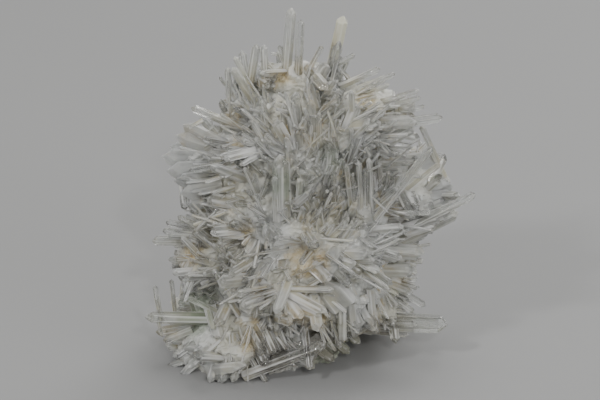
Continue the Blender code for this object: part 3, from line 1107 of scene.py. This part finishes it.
@dataclass
class NamedCrystals:
    """Crystals that the photograph shows one by one, as one sub-assembly.

    A companion's sizes are shares of its crystal's length and width.
    """

    name: str
    crystals: tuple[Crystal, ...]
    companions: tuple[int, ...] = (0, 1, 1, 2)
    shorter: tuple[float, float] = (0.45, 0.85)
    thinner: tuple[float, float] = (0.3, 0.55)
    beside: tuple[float, float] = (0.38, 0.5)
    lean: tuple[float, float] = (-0.02, 0.09)

    def build(self, material: bpy.types.Material) -> bpy.types.Object:
        """Cuts the crystals and gathers them.

        Args:
            material: Their finish.

        Returns:
            The piece.
        """
        gathering = Gathering(self.name)
        for spec in self.crystals:
            rng = random.Random(spec.name)
            root, tip = self.rooted(spec)
            length = (tip - root).length / MM
            part = CrystalCutter(rng).cut(length, spec.width)
            shape = Matrix.Rotation(spec.turn, 4, "Z") @ Matrix.Diagonal((1, spec.flatness, 1, 1))
            stand = frame_along(root, tip) @ Matrix.Scale(MM, 4)
            gathering.add(part, length, spec.width, stand @ shape, spec.habit.value, rng.random())
            for _ in range(rng.choice(self.companions)):
                self._add_companion(gathering, spec, length, stand, rng)
        return gathering.finish(material)

    def _add_companion(
        self, gathering: Gathering, spec: Crystal, length: float, stand: Matrix, rng: random.Random
    ) -> None:
        """Adds a thinner crystal grown along a named one.

        Args:
            gathering: Where it goes.
            spec: The named crystal.
            length: The named crystal's length, in millimetres.
            stand: Where the named crystal stands.
            rng: The named crystal's random numbers.
        """
        shorter = length * rng.uniform(*self.shorter)
        thinner = spec.width * rng.uniform(*self.thinner)
        round_about = Matrix.Rotation(rng.uniform(0, math.tau), 4, "Z")
        aside = Matrix.Translation((spec.width * rng.uniform(*self.beside), 0, 0))
        lean = Matrix.Rotation(rng.uniform(*self.lean), 4, "Y")
        part = CrystalCutter(rng).cut(shorter, thinner, rng.choice((0.0, 0.2)))
        shape = Matrix.Diagonal((1, spec.flatness, 1, 1)) @ round_about @ aside @ lean
        milk = limited(spec.habit.value + rng.uniform(0, 0.3))
        gathering.add(part, shorter, thinner, stand @ shape, milk, rng.random())

    @staticmethod
    def rooted(spec: Crystal) -> Ends:
        """Lets a crystal back until its root lies in the rough quartz.

        Args:
            spec: The crystal.

        Returns:
            Its root and tip, in metres.
        """
        across, up, toward = spec.root
        back = 0.0
        while not in_rough_quartz(placed(across, up, toward - back)) and back < DEEPEST_ROOT:
            back += ROOT_STEP
        if back >= DEEPEST_ROOT:
            back = 0.0
        elif back:
            back += ROOT_HOLD
        tip_across, tip_up, tip_toward = spec.tip
        return placed(across, up, toward - back), placed(tip_across, tip_up, tip_toward - back)


@dataclass
class Growth:
    """Which way crystals grow over the rough quartz: in sprays, turned by the named crystals near by.

    Sizes are in millimetres.
    """

    guides: Sequence[Crystal]
    gap: float = 12.0  # least distance between the middles of two sprays
    tries: int = 2500
    reach: float = 10.0  # how far a named crystal turns the ones round it
    pull: float = 2.6
    felt_at: float = 0.3  # how far along a named crystal
    felt_guides: int = 3
    swirl: float = 2.6  # how far sprays twist out of the straight, in radians
    swirl_size: float = 8.0
    seed: int = 21
    ways: list[Vector] = field(default_factory=list)
    tree: Optional[kdtree.KDTree] = None

    def way_at(self, point: Vector) -> Vector:
        """The way that crystals grow at the skin nearest to a point."""
        return self.ways[self.tree.find(point)[1]]

    def lay(self, mesh: bpy.types.Mesh) -> list[tuple[Vector, float, int, Vector]]:
        """Finds the growth at each point of a mesh.

        Args:
            mesh: The rough quartz, still smooth.

        Returns:
            For each point: the way outward from its spray's middle, its distance from there, the
            spray's number, and the way that crystals grow.
        """
        rng = random.Random(self.seed)
        middles: list[Vector] = []
        for index in rng.sample(range(len(mesh.vertices)), self.tries):
            spot = mesh.vertices[index].co
            if all((spot - middle).length > self.gap * MM for middle in middles):
                middles.append(spot.copy())
        ways, starts = [], []
        for spec in self.guides:
            root, tip = NamedCrystals.rooted(spec)
            ways.append((tip - root).normalized())
            starts.append(root.lerp(tip, self.felt_at))
        spray_tree, guide_tree = self._tree(middles), self._tree(starts)
        laid = []
        for vert in mesh.vertices:
            middle, number, distance = spray_tree.find(vert.co)
            outward = vert.co - middle
            outward = (outward - vert.normal * outward.dot(vert.normal)).normalized()
            twist = noise.noise(vert.co / (self.swirl_size * MM)) * self.swirl
            way = Quaternion(vert.normal, twist) @ outward
            for _, guide, gap in guide_tree.find_n(vert.co, self.felt_guides):
                way += ways[guide] * self.pull * math.exp(-((gap / (self.reach * MM)) ** 2))
            laid.append((outward, distance / MM, number, way.normalized()))
        self.ways = [way for *_, way in laid]
        self.tree = self._tree([vert.co for vert in mesh.vertices])
        return laid

    @staticmethod
    def _tree(points: Sequence[Vector]) -> kdtree.KDTree:
        """Makes a search tree.

        Args:
            points: What it finds.

        Returns:
            The tree, with the points by number.
        """
        tree = kdtree.KDTree(len(points))
        for number, point in enumerate(points):
            tree.insert(point, number)
        tree.balance()
        return tree


@dataclass
class CrystalCrowd:
    """The middling crystals that stand out all round the lumps, as the solid has them."""

    kind: Kind
    growth: Growth
    milk: float
    bundle: tuple[int, ...]  # how many crystals may fill one's place
    bend: float  # how far its crystals turn to the growth round them
    least_length: float
    thinner: tuple[float, float] = (0.38, 0.6)  # a bundle's crystals, as a share of the width
    shorter: tuple[float, float] = (0.68, 0.97)  # those after the first, as a share of the length
    lean: float = 0.06
    most_milk: float = 0.9
    box_margin: float = 2.0  # between a turned tip and the solid's box
    found: list[tuple[Vector, Vector, float, float, float]] = field(default_factory=list)

    def plan(self, rng: random.Random) -> None:
        """Draws roots, tips, widths, flatnesses and turns.

        Args:
            rng: The numbers that the lumps and the earlier crowds have already drawn from.
        """
        surfaces: list[Vector] = []
        ends: list[tuple[Vector, Vector, float]] = []
        while len(ends) < self.kind.count:
            lump = rng.choice(LUMPS)
            way = random_way(rng).normalized()
            offset = Vector(part * radius for part, radius in zip(way, lump.radii)) * MM
            surface = placed(*lump.centre) + offset
            if any(within_lump(surface, other) for other in LUMPS if other is not lump):
                continue
            if any((surface - other).length < self.kind.spacing * MM for other in surfaces):
                continue
            normal = Vector(part / radius for part, radius in zip(way, lump.radii)).normalized()
            aim = (normal + random_way(rng) * self.kind.spread).normalized()
            width = rng.uniform(*self.kind.width) * MM
            tip = surface + aim * rng.uniform(*self.kind.reach) * MM
            if aim.dot(normal) < LEAST_RISE or tip.z < width / 2 or not inside_outline(tip):
                continue
            surfaces.append(surface)
            ends.append((surface - aim * self.kind.root * MM, tip, width))
        for root, tip, width in ends:
            flatness = rng.uniform(*self.kind.flatness)
            self.found.append((root, tip, width, flatness, rng.uniform(0, math.pi / 3)))

    def build(self, material: bpy.types.Material) -> bpy.types.Object:
        """Cuts the crystals and gathers them.

        Args:
            material: Their finish.

        Returns:
            The piece.
        """
        gathering = Gathering(f"crowd_of_{self.kind.name}s")
        rng = random.Random(self.kind.name)
        for root, tip, width, flatness, turn in self.found:
            calm = any(spot.holds(root) for spot in CALM_PLACES)
            if not calm:
                tip = self._bent(root, tip)
            stand = frame_along(root, tip) @ Matrix.Scale(MM, 4) @ Matrix.Rotation(turn, 4, "Z")
            stand = stand @ Matrix.Diagonal((1, flatness, 1, 1))
            count = 1 if calm else rng.choice(self.bundle)
            self._add_bundle(gathering, count, (tip - root).length / MM, width / MM, stand, rng)
        return gathering.finish(material)

    def _bent(self, root: Vector, tip: Vector) -> Vector:
        """Turns a crystal about its root toward the growth there, where the outline leaves room.

        Args:
            root: Its root.
            tip: Its tip.

        Returns:
            Its new tip.
        """
        length = max((tip - root).length, self.least_length * MM)
        way = (tip - root).normalized() * (1 - self.bend) + self.growth.way_at(root) * self.bend
        bent = root + way.normalized() * length
        margin = self.box_margin * MM
        boxed = all(low + margin < at < high - margin for low, at, high in zip(CAD_BOX[0], bent, CAD_BOX[1]))
        return bent if boxed and inside_outline(bent) else tip

    def _add_bundle(
        self,
        gathering: Gathering,
        count: int,
        length: float,
        width: float,
        stand: Matrix,
        rng: random.Random,
    ) -> None:
        """Adds parallel crystals that fill one crystal's place, the first of them its whole length.

        Args:
            gathering: Where they go.
            count: How many there are.
            length: The place's length, in millimetres.
            width: The place's width, in millimetres.
            stand: Where it stands.
            rng: The crowd's random numbers.
        """
        milk = limited(rng.gauss(self.milk, 0.15), self.most_milk)
        for number in range(count):
            share = rng.uniform(*self.thinner) if count > 1 else 1.0
            reach = width * (1 - share) / 2
            angle = math.tau * (number + rng.uniform(-0.3, 0.3)) / count
            aside = Matrix.Translation((math.cos(angle) * reach, math.sin(angle) * reach, 0))
            lean = Matrix.Rotation(rng.uniform(-self.lean, self.lean) * (count > 1), 4, "Y")
            tall = length * (rng.uniform(*self.shorter) if number else 1.0)
            part = CrystalCutter(rng).cut(tall, width * share, rng.choice((0.0, 0.12, 0.25)))
            veil = limited(milk + rng.uniform(-0.2, 0.2), self.most_milk)
            gathering.add(part, tall, width * share, stand @ aside @ lean, veil, rng.random())


@dataclass
class RoughQuartz:
    """The grown-together quartz that carries the crystals, ridged the way that they grow."""

    rng: random.Random
    growth: Growth
    grain: float = 0.85  # size of the finished faces, in millimetres
    chip: float = 7.0  # size of its flat chips, in millimetres
    chip_tilt: float = 0.5
    ridges: float = 4.5  # how many ridges lie between a spray's quarters
    ridge_height: float = 0.4  # in millimetres
    ridge_break: float = 7.0  # length of a ridge before it steps, in millimetres
    inset: float = 0.5  # how far it keeps inside the lumps, in millimetres
    flat_middle: float = 3.0  # of a spray, where its ridges start, in millimetres
    spray_shift: tuple[float, float] = (3.7, 1.3)  # of the ridges, from one spray to the next
    chip_shift: float = 7.3
    thread_stretch: float = 0.25
    most_along: float = 0.6  # of the root's warm colours, on the highest ridges

    def build(self, material: bpy.types.Material) -> bpy.types.Object:
        """Joins the lumps and breaks their skin into ridges and flat chips.

        Args:
            material: Its finish.

        Returns:
            The piece.
        """
        blank = bmesh.new()
        for lump in LUMPS:
            self._add_lump(blank, lump)
        mesh = bpy.data.meshes.new("rough_quartz_blank")
        blank.to_mesh(mesh)
        blank.free()
        body = linked("rough_quartz", mesh)
        remesh = body.modifiers.new("join", "REMESH")
        remesh.mode = "VOXEL"
        remesh.voxel_size = self.grain * MM
        settle(body)
        self._ridge(body.data)
        body.data.materials.clear()
        body.data.materials.append(material)
        return body

    def _add_lump(self, blank: bmesh.types.BMesh, lump: Lump) -> None:
        """Adds a rough ball, stretched to a lump's radii.

        Args:
            blank: Where it goes.
            lump: The lump.
        """
        made = bmesh.ops.create_icosphere(blank, subdivisions=2, radius=1)["verts"]
        for vert in made:
            vert.co *= 1 + self.rng.uniform(-LUMP_ROUGHNESS, LUMP_ROUGHNESS)
        stretch = Matrix.Diagonal((*(radius * MM for radius in lump.radii), 1))
        place = Matrix.Translation(placed(*lump.centre)) @ stretch
        bmesh.ops.transform(blank, verts=made, matrix=place)

    def _ridge(self, mesh: bpy.types.Mesh) -> None:
        """Raises the skin in ridges along the growth, and stores what the finish and thickets need.

        Args:
            mesh: The joined lumps.
        """
        moved, ways, inner, tones, heights = [], [], [], [], []
        for vert, (outward, distance, number, way) in zip(mesh.vertices, self.growth.lay(mesh)):
            shifts = (number * shift for shift in self.spray_shift)
            aside = Vector((*shifts, distance / self.ridge_break))
            step = noise.cell(outward * self.ridges + aside)
            fade = min(distance / self.flat_middle, 1.0)
            scaled = vert.co / (self.chip * MM)
            centre = noise.voronoi(scaled)[1][0]
            lean = noise.cell_vector(centre * self.chip_shift) * 2 - Vector((1, 1, 1))
            chip = lean.dot(scaled - centre) * self.chip_tilt * self.chip * 0.5
            height = step * self.ridge_height * fade + chip - self.inset
            moved.append(grounded(vert.co + vert.normal * height * MM))
            ways.extend(way)
            thread = distance * self.thread_stretch + number
            inner.extend((outward.x + outward.z, outward.y - outward.z, thread))
            tones.append(step * 0.5 + 0.5)
            heights.append(limited(height / (2 * self.ridge_height) + 0.5) * self.most_along)
        for vert, spot in zip(mesh.vertices, moved):
            vert.co = spot
        mesh.update()
        for name, kind, key, values in (
            ("growth", "FLOAT_VECTOR", "vector", ways),
            ("inner", "FLOAT_VECTOR", "vector", inner),
            ("tone", "FLOAT", "value", tones),
            ("along", "FLOAT", "value", heights),
        ):
            layer = mesh.attributes.new(name, kind, "POINT")
            layer.data.foreach_set(key, values)


@dataclass
class Thicket:
    """Small crystals that grow out of the rough quartz everywhere, laid by a node tree.

    Lengths and widths are in metres.
    """

    name: str
    density: float  # crystals to a square metre
    length: tuple[float, float]
    width: tuple[float, float]
    milk: tuple[float, float]
    seed: int
    lift: float = 0.5  # how far crystals stand up from the surface rather than lie along it
    sheaf: float = 1.0  # how far crystals lean the way that their spray grows
    spread: float = 0.22  # how far single crystals stray
    flatness: tuple[float, float] = (0.55, 1.0)
    aspect: float = 8.0  # a kind's length over its width
    buried: float = 0.26  # share of a crystal that is under the surface
    calm: float = 1.0  # how far the calm places are kept clear
    patchy: float = 0.6  # how far it thins out between its patches
    tone: tuple[float, float] = (0.0, 1.0)  # from grey to white
    least_rise: float = 0.12
    box_margin: float = 1.5  # between a tip and the solid's box, in millimetres
    patch_size: float = 14.0  # in millimetres
    calm_edge: float = 0.35
    least_sheaf: float = 0.6
    least_height: float = 0.42  # share of its length that a crystal keeps at the outline
    spin: float = 0.7  # how far a crystal is turned about itself, in radians, at most

    def variants(self) -> bpy.types.Collection:
        """Makes the crystals that the thicket repeats, each one unit long and one wide.

        Returns:
            Eight kinds, of up to three crystals grown together.
        """
        held = bpy.data.collections.new(f"{self.name}_kinds")
        rng = random.Random(f"{self.name}{self.seed}")
        unit = Matrix.Diagonal((1, 1, 1 / (self.aspect * (1 - self.buried)), 1))
        unit = unit @ Matrix.Translation((0, 0, -self.aspect * self.buried))
        for number in range(8):
            gathering = Gathering(f"{self.name}_kind_{number}")
            for twin in range(rng.choice((1, 1, 2, 3))):
                length = self.aspect * (1 if twin == 0 else rng.uniform(0.45, 0.85))
                width = 1.0 if twin == 0 else rng.uniform(0.5, 0.9)
                part = CrystalCutter(rng).cut(length, width, rng.choice((0.0, 0.06, 0.16)), False)
                lean = Matrix.Rotation((0, 1, -1)[twin] * rng.uniform(0, 0.12), 4, "Y")
                aside = Matrix.Translation(((0, 0.7, -0.7)[twin] * rng.uniform(0.7, 1), 0, 0))
                gathering.add(part, length, width, unit @ aside @ lean, 0, 0)
            kind = gathering.finish(None)
            for spare in ("milk", "tone"):
                kind.data.attributes.remove(kind.data.attributes[spare])
            bpy.context.scene.collection.objects.unlink(kind)
            held.objects.link(kind)
        return held

    def grow(self, body: bpy.types.Object, material: bpy.types.Material) -> bpy.types.Object:
        """Grows the thicket on the body.

        Args:
            body: The rough quartz.
            material: The crystals' finish.

        Returns:
            The piece, as a plain mesh.
        """
        kinds = self.variants()
        carrier = linked(self.name, body.data)
        modifier = carrier.modifiers.new("grow", "NODES")
        values = {
            "Density": self.density,
            "Shortest": self.length[0],
            "Longest": self.length[1],
            "Thinnest": self.width[0],
            "Thickest": self.width[1],
            "Lift": self.lift,
            "Spread": self.spread,
            "Sheaf": self.sheaf,
            "Clearest": self.milk[0],
            "Milkiest": self.milk[1],
        }
        tree = self._tree(tuple(values), kinds, material)
        modifier.node_group = tree
        for item in tree.interface.items_tree:
            if item.in_out == "INPUT" and item.name in values:
                modifier[item.identifier] = float(values[item.name])
            if item.in_out == "INPUT" and item.name == "Seed":
                modifier[item.identifier] = self.seed
        settle(carrier)
        for kind in list(kinds.objects):
            bpy.data.objects.remove(kind)
        bpy.data.collections.remove(kinds)
        return carrier

    def _tree(
        self, sizes: tuple[str, ...], kinds: bpy.types.Collection, material: bpy.types.Material
    ) -> bpy.types.NodeTree:
        """Builds the node tree that lays the crystals.

        Args:
            sizes: The names of its inputs.
            kinds: The crystals that it repeats.
            material: Their finish.

        Returns:
            The tree, which gives real geometry.
        """
        tree = bpy.data.node_groups.new(f"{self.name}_growth", "GeometryNodeTree")
        face = tree.interface
        face.new_socket("Geometry", in_out="OUTPUT", socket_type="NodeSocketGeometry")
        face.new_socket("Geometry", in_out="INPUT", socket_type="NodeSocketGeometry")
        for name in sizes:
            face.new_socket(name, in_out="INPUT", socket_type="NodeSocketFloat")
        face.new_socket("Seed", in_out="INPUT", socket_type="NodeSocketInt")
        g = Graph(tree)
        given = g.node("NodeGroupInput")
        want = {socket.name: Wire(g, socket) for socket in given.outputs if socket.name}
        spread = g.node(
            "GeometryNodeDistributePointsOnFaces",
            {"distribute_method": "RANDOM"},
            {"Mesh": want["Geometry"], "Density": want["Density"], "Seed": want["Seed"]},
        )
        normal = Wire(g, spread.outputs["Normal"])
        aim = self._aim(g, want, normal)
        width = self._drawn(want["Thinnest"], want["Thickest"], self._chance(g, 3))
        length = self._length(g, want, normal)
        inputs = {
            "Points": Wire(g, spread.outputs["Points"]),
            "Selection": self._chosen(g, aim, length, normal),
            "Instance": g.out(
                "GeometryNodeCollectionInfo", 0, None, {"Collection": kinds, "Separate Children": True}
            ),
            "Pick Instance": True,
            "Rotation": self._turned(g, aim, normal),
            "Scale": g.combined(width, width * self._random(g, "FLOAT", *self.flatness, 5), length),
        }
        laid = g.out("GeometryNodeInstanceOnPoints", 0, None, inputs)
        for name, value in (
            ("milk", self._drawn(want["Clearest"], want["Milkiest"], self._chance(g, 6))),
            ("tone", self._random(g, "FLOAT", *self.tone, 7)),
        ):
            laid = g.out(
                "GeometryNodeStoreNamedAttribute",
                0,
                {"data_type": "FLOAT", "domain": "INSTANCE"},
                {"Geometry": laid, "Name": name, "Value": value},
            )
        real = g.out("GeometryNodeRealizeInstances", 0, None, {"Geometry": laid})
        x, y, z = g.parts(g.out("GeometryNodeInputPosition", 0))
        lifted = {"Geometry": real, "Position": g.combined(x, y, z.at_least(0.0))}
        lifted = g.out("GeometryNodeSetPosition", 0, None, lifted)
        finish = {"Geometry": lifted, "Material": material}
        dressed = g.out("GeometryNodeSetMaterial", 0, None, finish)
        g.node("NodeGroupOutput", None, {"Geometry": dressed})
        return tree

    def _aim(self, g: Graph, want: dict[str, Wire], normal: Wire) -> Wire:
        """Turns crystals the way that their spray grows, somewhat up and somewhat astray.

        Args:
            g: The tree.
            want: The tree's inputs, by name.
            normal: The skin's normal.

        Returns:
            The way that each crystal points.
        """
        settings = {"data_type": "FLOAT_VECTOR"}
        way = g.node("GeometryNodeInputNamedAttribute", settings, {"Name": "growth"})
        lean = want["Sheaf"] * (self.least_sheaf + (1 - self.least_sheaf) * self._chance(g, 9))
        swirl = g.scaled(self._shown(g, way), lean)
        stray = self._random(g, "FLOAT_VECTOR", (-1.0, -1.0, -1.0), (1.0, 1.0, 1.0), 1)
        stray = g.scaled(stray, want["Spread"])
        lift = g.scaled(normal, want["Lift"])
        return g.vector("NORMALIZE", g.vector("ADD", lift, g.vector("ADD", swirl, stray)))

    def _length(self, g: Graph, want: dict[str, Wire], normal: Wire) -> Wire:
        """Draws lengths, mostly short ones, and shorter still toward the outline.

        Args:
            g: The tree.
            want: The tree's inputs, by name.
            normal: The skin's normal.

        Returns:
            The length of each crystal.
        """
        long = self._chance(g, 2)
        length = self._drawn(want["Shortest"], want["Longest"], long * long)
        facing = g.vector("DOT_PRODUCT", normal, SIGHT, "Value")
        broad = (facing * facing).smooth(0.1, 0.55)
        return length * (self.least_height + (1 - self.least_height) * broad)

    def _chosen(self, g: Graph, aim: Wire, length: Wire, normal: Wire) -> Wire:
        """Chooses where crystals grow: in patches, out of calm places, and within bounds.

        Args:
            g: The tree.
            aim: The way that each crystal points.
            length: Its length.
            normal: The skin's normal.

        Returns:
            1 where a crystal grows, else 0.
        """
        at = g.out("GeometryNodeInputPosition", 0)
        inside = self._inside(g, g.vector("ADD", at, g.scaled(aim, length)))
        rises = g.vector("DOT_PRODUCT", aim, normal, "Value").over(self.least_rise)
        patches = 1 - (1 - g.noise(at, self.patch_size, 2.0).smooth(0.38, 0.52)) * self.patchy
        calm = within_spots(g, at, CALM_PLACES, self.calm_edge)
        grows = (patches - calm * self.calm).over(self._chance(g, 8))
        return inside * rises * grows

    def _turned(self, g: Graph, aim: Wire, normal: Wire) -> Wire:
        """Stands crystals along their aim, with their flat sides out.

        Args:
            g: The tree.
            aim: The way that each crystal points.
            normal: The skin's normal.

        Returns:
            The rotation of each.
        """
        align = "FunctionNodeAlignRotationToVector"
        stood = g.out(align, 0, {"axis": "Z"}, {"Vector": aim})
        level = {"Rotation": stood, "Vector": g.vector("CROSS_PRODUCT", aim, normal)}
        faced = g.out(align, 0, {"axis": "X", "pivot_axis": "Z"}, level)
        spin = g.combined(0.0, 0.0, self._random(g, "FLOAT", -self.spin, self.spin, 4))
        settings = {"rotation_space": "LOCAL"}
        return g.out("FunctionNodeRotateRotation", 0, settings, {0: faced, 1: spin})

    def _random(self, g: Graph, kind: str, low: Any, high: Any, stream: int) -> Wire:
        """Adds a Random Value node with a seed of its own.

        Args:
            g: The tree.
            kind: A number or a vector, as the node names them.
            low: The least value.
            high: The greatest value.
            stream: Which of the thicket's draws it is.

        Returns:
            The value.
        """
        made = g.node("FunctionNodeRandomValue", {"data_type": kind})
        named = {socket.name: socket for socket in made.inputs if socket.enabled}
        named["Min"].default_value = low
        named["Max"].default_value = high
        named["Seed"].default_value = self.seed * 10 + stream
        return self._shown(g, made)

    def _chance(self, g: Graph, stream: int) -> Wire:
        """A random number from 0 to 1."""
        return self._random(g, "FLOAT", 0.0, 1.0, stream)

    @staticmethod
    def _drawn(low: Wire, high: Wire, share: Wire) -> Wire:
        """The number that lies a share of the way from low to high."""
        return low + (high - low) * share

    @staticmethod
    def _shown(g: Graph, made: bpy.types.Node) -> Wire:
        """The output that a node of many types shows."""
        return Wire(g, next(socket for socket in made.outputs if socket.enabled))

    def _inside(self, g: Graph, tip: Wire) -> Wire:
        """Tells whether a tip stays inside the solid's box and the crowd's outline.

        Args:
            g: The tree.
            tip: The tip.

        Returns:
            1 where it does, else 0.
        """
        margin = self.box_margin * MM
        across, toward, up = g.parts(tip)
        inside: Any = 1.0
        for along, low, high in zip((across, toward, up), *CAD_BOX):
            inside = along.over(low + margin) * inside
            inside = (0.0 - along).over(margin - high) * inside
        return inside * self._inside_outline(across, toward, up)

    @staticmethod
    def _inside_outline(x: Wire, y: Wire, z: Wire) -> Wire:
        """Tells whether the view shows a point within the crowd's outline.

        Args:
            x: The point's place along X, in metres.
            y: Its place along Y.
            z: Its place along Z.

        Returns:
            1 where it does, else 0.
        """
        depth = y + (MIDDLE_DEPTH - CENTRE_TOWARD) * MM
        across = x + CENTRE_ACROSS * MM
        up = z * math.cos(VIEW_TILT) + depth * math.sin(VIEW_TILT)
        side: Any = 1.0
        for start, end in zip(CROWD_OUTLINE, CROWD_OUTLINE[1:] + CROWD_OUTLINE[:1]):
            (low_x, low_y), (high_x, high_y) = sorted((start, end), key=lambda corner: corner[1])
            if low_y == high_y:
                continue
            beside = (up - low_y * MM) * ((high_x - low_x) / (high_y - low_y)) + low_x * MM
            crossed = up.over(low_y * MM) * (1 - up.over(high_y * MM)) * beside.over(across)
            side = (1 - crossed * 2) * side
        return (0.0 - side).over(0.0)


THICKETS = (
    Thicket(
        name="slab_thicket",
        density=17000,
        length=(0.008, 0.017),
        width=(0.0028, 0.006),
        milk=(0.5, 0.9),
        seed=9,
        lift=0.08,
        spread=0.2,
        flatness=(0.25, 0.4),
        aspect=5.5,
        buried=0.45,
        calm=0.85,
        patchy=0.0,
        tone=(0.0, 0.7),
    ),
    Thicket(
        name="lath_thicket",
        density=9000,
        length=(0.007, 0.018),
        width=(0.0014, 0.003),
        milk=(0.35, 0.9),
        seed=4,
        lift=0.2,
        spread=0.22,
        flatness=(0.4, 0.7),
        aspect=8,
        buried=0.4,
        calm=0.85,
        patchy=0.4,
    ),
    Thicket(
        name="stout_thicket",
        density=4000,
        length=(0.008, 0.018),
        width=(0.0012, 0.0025),
        milk=(0.3, 0.9),
        seed=3,
        lift=0.36,
        aspect=8,
    ),
    Thicket(
        name="needle_thicket",
        density=90000,
        length=(0.006, 0.017),
        width=(0.0005, 0.0013),
        milk=(0.2, 1.0),
        seed=5,
        lift=0.42,
        spread=0.6,
        aspect=13,
        # Painted highlight: the thin needles are drawn whiter than the rest, standing in for the light that
        # their edges catch
        tone=(0.5, 1.0),
    ),
)


@dataclass(frozen=True)
class Lamp:
    """A square soft light: watts, side, and place from the cluster's middle, in metres."""

    name: str
    energy: float
    size: float
    place: Triple


LAMPS = (
    Lamp("key", 6.5, 0.14, (-0.75, -0.75, 0.95)),
    Lamp("glint", 4.0, 0.06, (0.2, -1.1, 0.75)),
    Lamp("fill", 3.0, 0.6, (0.95, -0.7, 0.45)),
    Lamp("top", 6.0, 0.7, (0.1, 0.25, 1.15)),
    Lamp("rim", 5.0, 0.5, (0.6, 0.9, 0.6)),
)


@dataclass
class Studio:
    """A plain pale floor, soft light and the camera."""

    lens: float = 180.0
    sensor: float = 36.0
    near_clip: float = 0.01
    frame_width: float = 0.2  # metres across the picture at the cluster's middle plane
    floor_size: float = 12.0
    aim_up: float = 61.33  # in the view, in millimetres
    lit_height: float = 0.055
    floor_colour: Colour = (0.27, 0.27, 0.268, 1)
    floor_roughness: float = 0.7
    world_colour: Colour = (0.82, 0.82, 0.81, 1)
    world_strength: float = 0.67

    def floor(self) -> bpy.types.Object:
        """Lays the floor.

        Returns:
            A pale card, faintly mottled.
        """
        mesh = bmesh.new()
        bmesh.ops.create_grid(mesh, x_segments=4, y_segments=4, size=self.floor_size / 2)
        data = bpy.data.meshes.new("floor")
        mesh.to_mesh(data)
        mesh.free()
        floor = linked("floor", data)
        material = bpy.data.materials.new("floor_card")
        material.use_nodes = True
        g = Graph(material.node_tree)
        at = g.out("ShaderNodeTexCoord", "Object")
        paler = tuple(min(part * 1.03, 1) for part in self.floor_colour)
        colour = g.blend(g.noise(at, 60.0), self.floor_colour, paler)
        shader = material.node_tree.nodes["Principled BSDF"]
        material.node_tree.links.new(colour.socket, shader.inputs["Base Color"])
        shader.inputs["Roughness"].default_value = self.floor_roughness
        data.materials.append(material)
        return floor

    def lights(self) -> None:
        """Hangs the lights, and fills the rest with a pale world."""
        for lamp in LAMPS:
            data = bpy.data.lights.new(lamp.name, "AREA")
            data.energy = lamp.energy
            data.size = lamp.size
            light = linked(lamp.name, data)
            spot = Vector(lamp.place)
            light.location = Vector((0, 0, self.lit_height)) + spot
            light.rotation_euler = (-spot).to_track_quat("-Z", "Y").to_euler()
            light.visible_camera = False
        world = bpy.data.worlds.new("studio")
        world.use_nodes = True
        back = world.node_tree.nodes["Background"]
        back.inputs["Color"].default_value = self.world_colour
        back.inputs["Strength"].default_value = self.world_strength
        bpy.context.scene.world = world

    def camera(self) -> None:
        """Sets the camera at the view's angle, and makes it the scene's."""
        data = bpy.data.cameras.new("camera")
        data.lens = self.lens
        data.sensor_width = self.sensor
        data.clip_start = self.near_clip
        camera = linked("camera", data)
        target = placed(0, self.aim_up, 0)
        away = Vector(SIGHT)
        camera.location = target + away * self.frame_width * self.lens / self.sensor
        camera.rotation_euler = (-away).to_track_quat("-Z", "Y").to_euler()
        bpy.context.scene.camera = camera


def dress(piece: bpy.types.Object) -> None:
    """Says that a piece is the cluster's own and stands for its solid, and reports it.

    Args:
        piece: The piece.
    """
    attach(piece, BODY)
    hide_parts(CAD_NODE)
    faces = sum(len(face.vertices) - 2 for face in piece.data.polygons)
    places = list(zip(*(vert.co for vert in piece.data.vertices)))
    low, high = ([round(end(place) / MM, 1) for place in places] for end in (min, max))
    log.info("%s: %d triangles, from %s to %s mm", piece.name, faces, low, high)


def main() -> None:
    """Builds the cluster, the floor, the lights and the camera."""
    # Ochre and green stains, and the painted shade of the hollows and underside
    stains = {"ochre_spots": OCHRE_SPOTS, "green_spots": GREEN_SPOTS, "shade_and_matrix_spots": SHADE_AND_MATRIX_SPOTS}
    clear = QuartzFinish("clear_quartz", absorption=70.0, **stains).material()
    veiled = QuartzFinish(
        "veiled_quartz", least_cloud=0.1, streak_cloud=1.0, edge_from=0.43, **stains
    ).material()
    rough = QuartzFinish(
        "milky_quartz",
        milk_grey=(0.52, 0.53, 0.52, 1),
        root_warm=(0.64, 0.615, 0.50, 1),
        streak_and_highlight_white=(0.86, 0.86, 0.83, 1),
        least_cloud=1.0,
        milky_transmission=0.1,
        milky_roughness=0.12,
        edge_highlight=0.0,
        tip_frost=0.0,
        relief=1.0,
        warmth=0.7,
        **stains,
    ).material()
    sheet = QuartzFinish(
        "sheet_quartz",
        milk_grey=(0.52, 0.53, 0.53, 1),
        least_cloud=0.5,
        streak_cloud=0.25,
        streak_tone=0.1,
        # Painted highlight: a fainter white painted along the sheets' edges
        edge_highlight=0.35,
        warmth=0.4,
        **stains,
    ).material()
    rng = random.Random(CROWD_SEED)
    guides = CROWN + FAN + RIGHT_SIDE + UNDERSIDE + LEFT_SIDE + LEDGES + FRONT + SMALL_NEEDLES
    growth = Growth([spec for spec in guides if not spec.name.startswith(UNSEEN_WAYS)])
    body = RoughQuartz(rng, growth).build(rough)
    dress(body)
    blocks, prisms = CROWDS
    for crowd in (
        CrystalCrowd(blocks, growth, milk=0.6, bundle=(5, 6, 7, 8), bend=0.75, least_length=17.0),
        CrystalCrowd(prisms, growth, milk=0.45, bundle=(1, 2, 3), bend=0.5, least_length=9.0),
    ):
        crowd.plan(rng)
        dress(crowd.build(veiled))
    for name, crystals in (
        ("crown", CROWN),
        ("fan", FAN),
        ("right_side", RIGHT_SIDE),
        ("underside", UNDERSIDE),
        ("left_side", LEFT_SIDE),
        ("front", FRONT),
        ("small_needles", SMALL_NEEDLES),
    ):
        dress(NamedCrystals(name, crystals).build(clear))
    dress(NamedCrystals("ledges", LEDGES, companions=(1, 1, 2)).build(sheet))
    for thicket in THICKETS:
        dress(thicket.grow(body, veiled))
    studio = Studio()
    studio.floor()
    studio.lights()
    studio.camera()


if __name__ == "__main__":
    main()
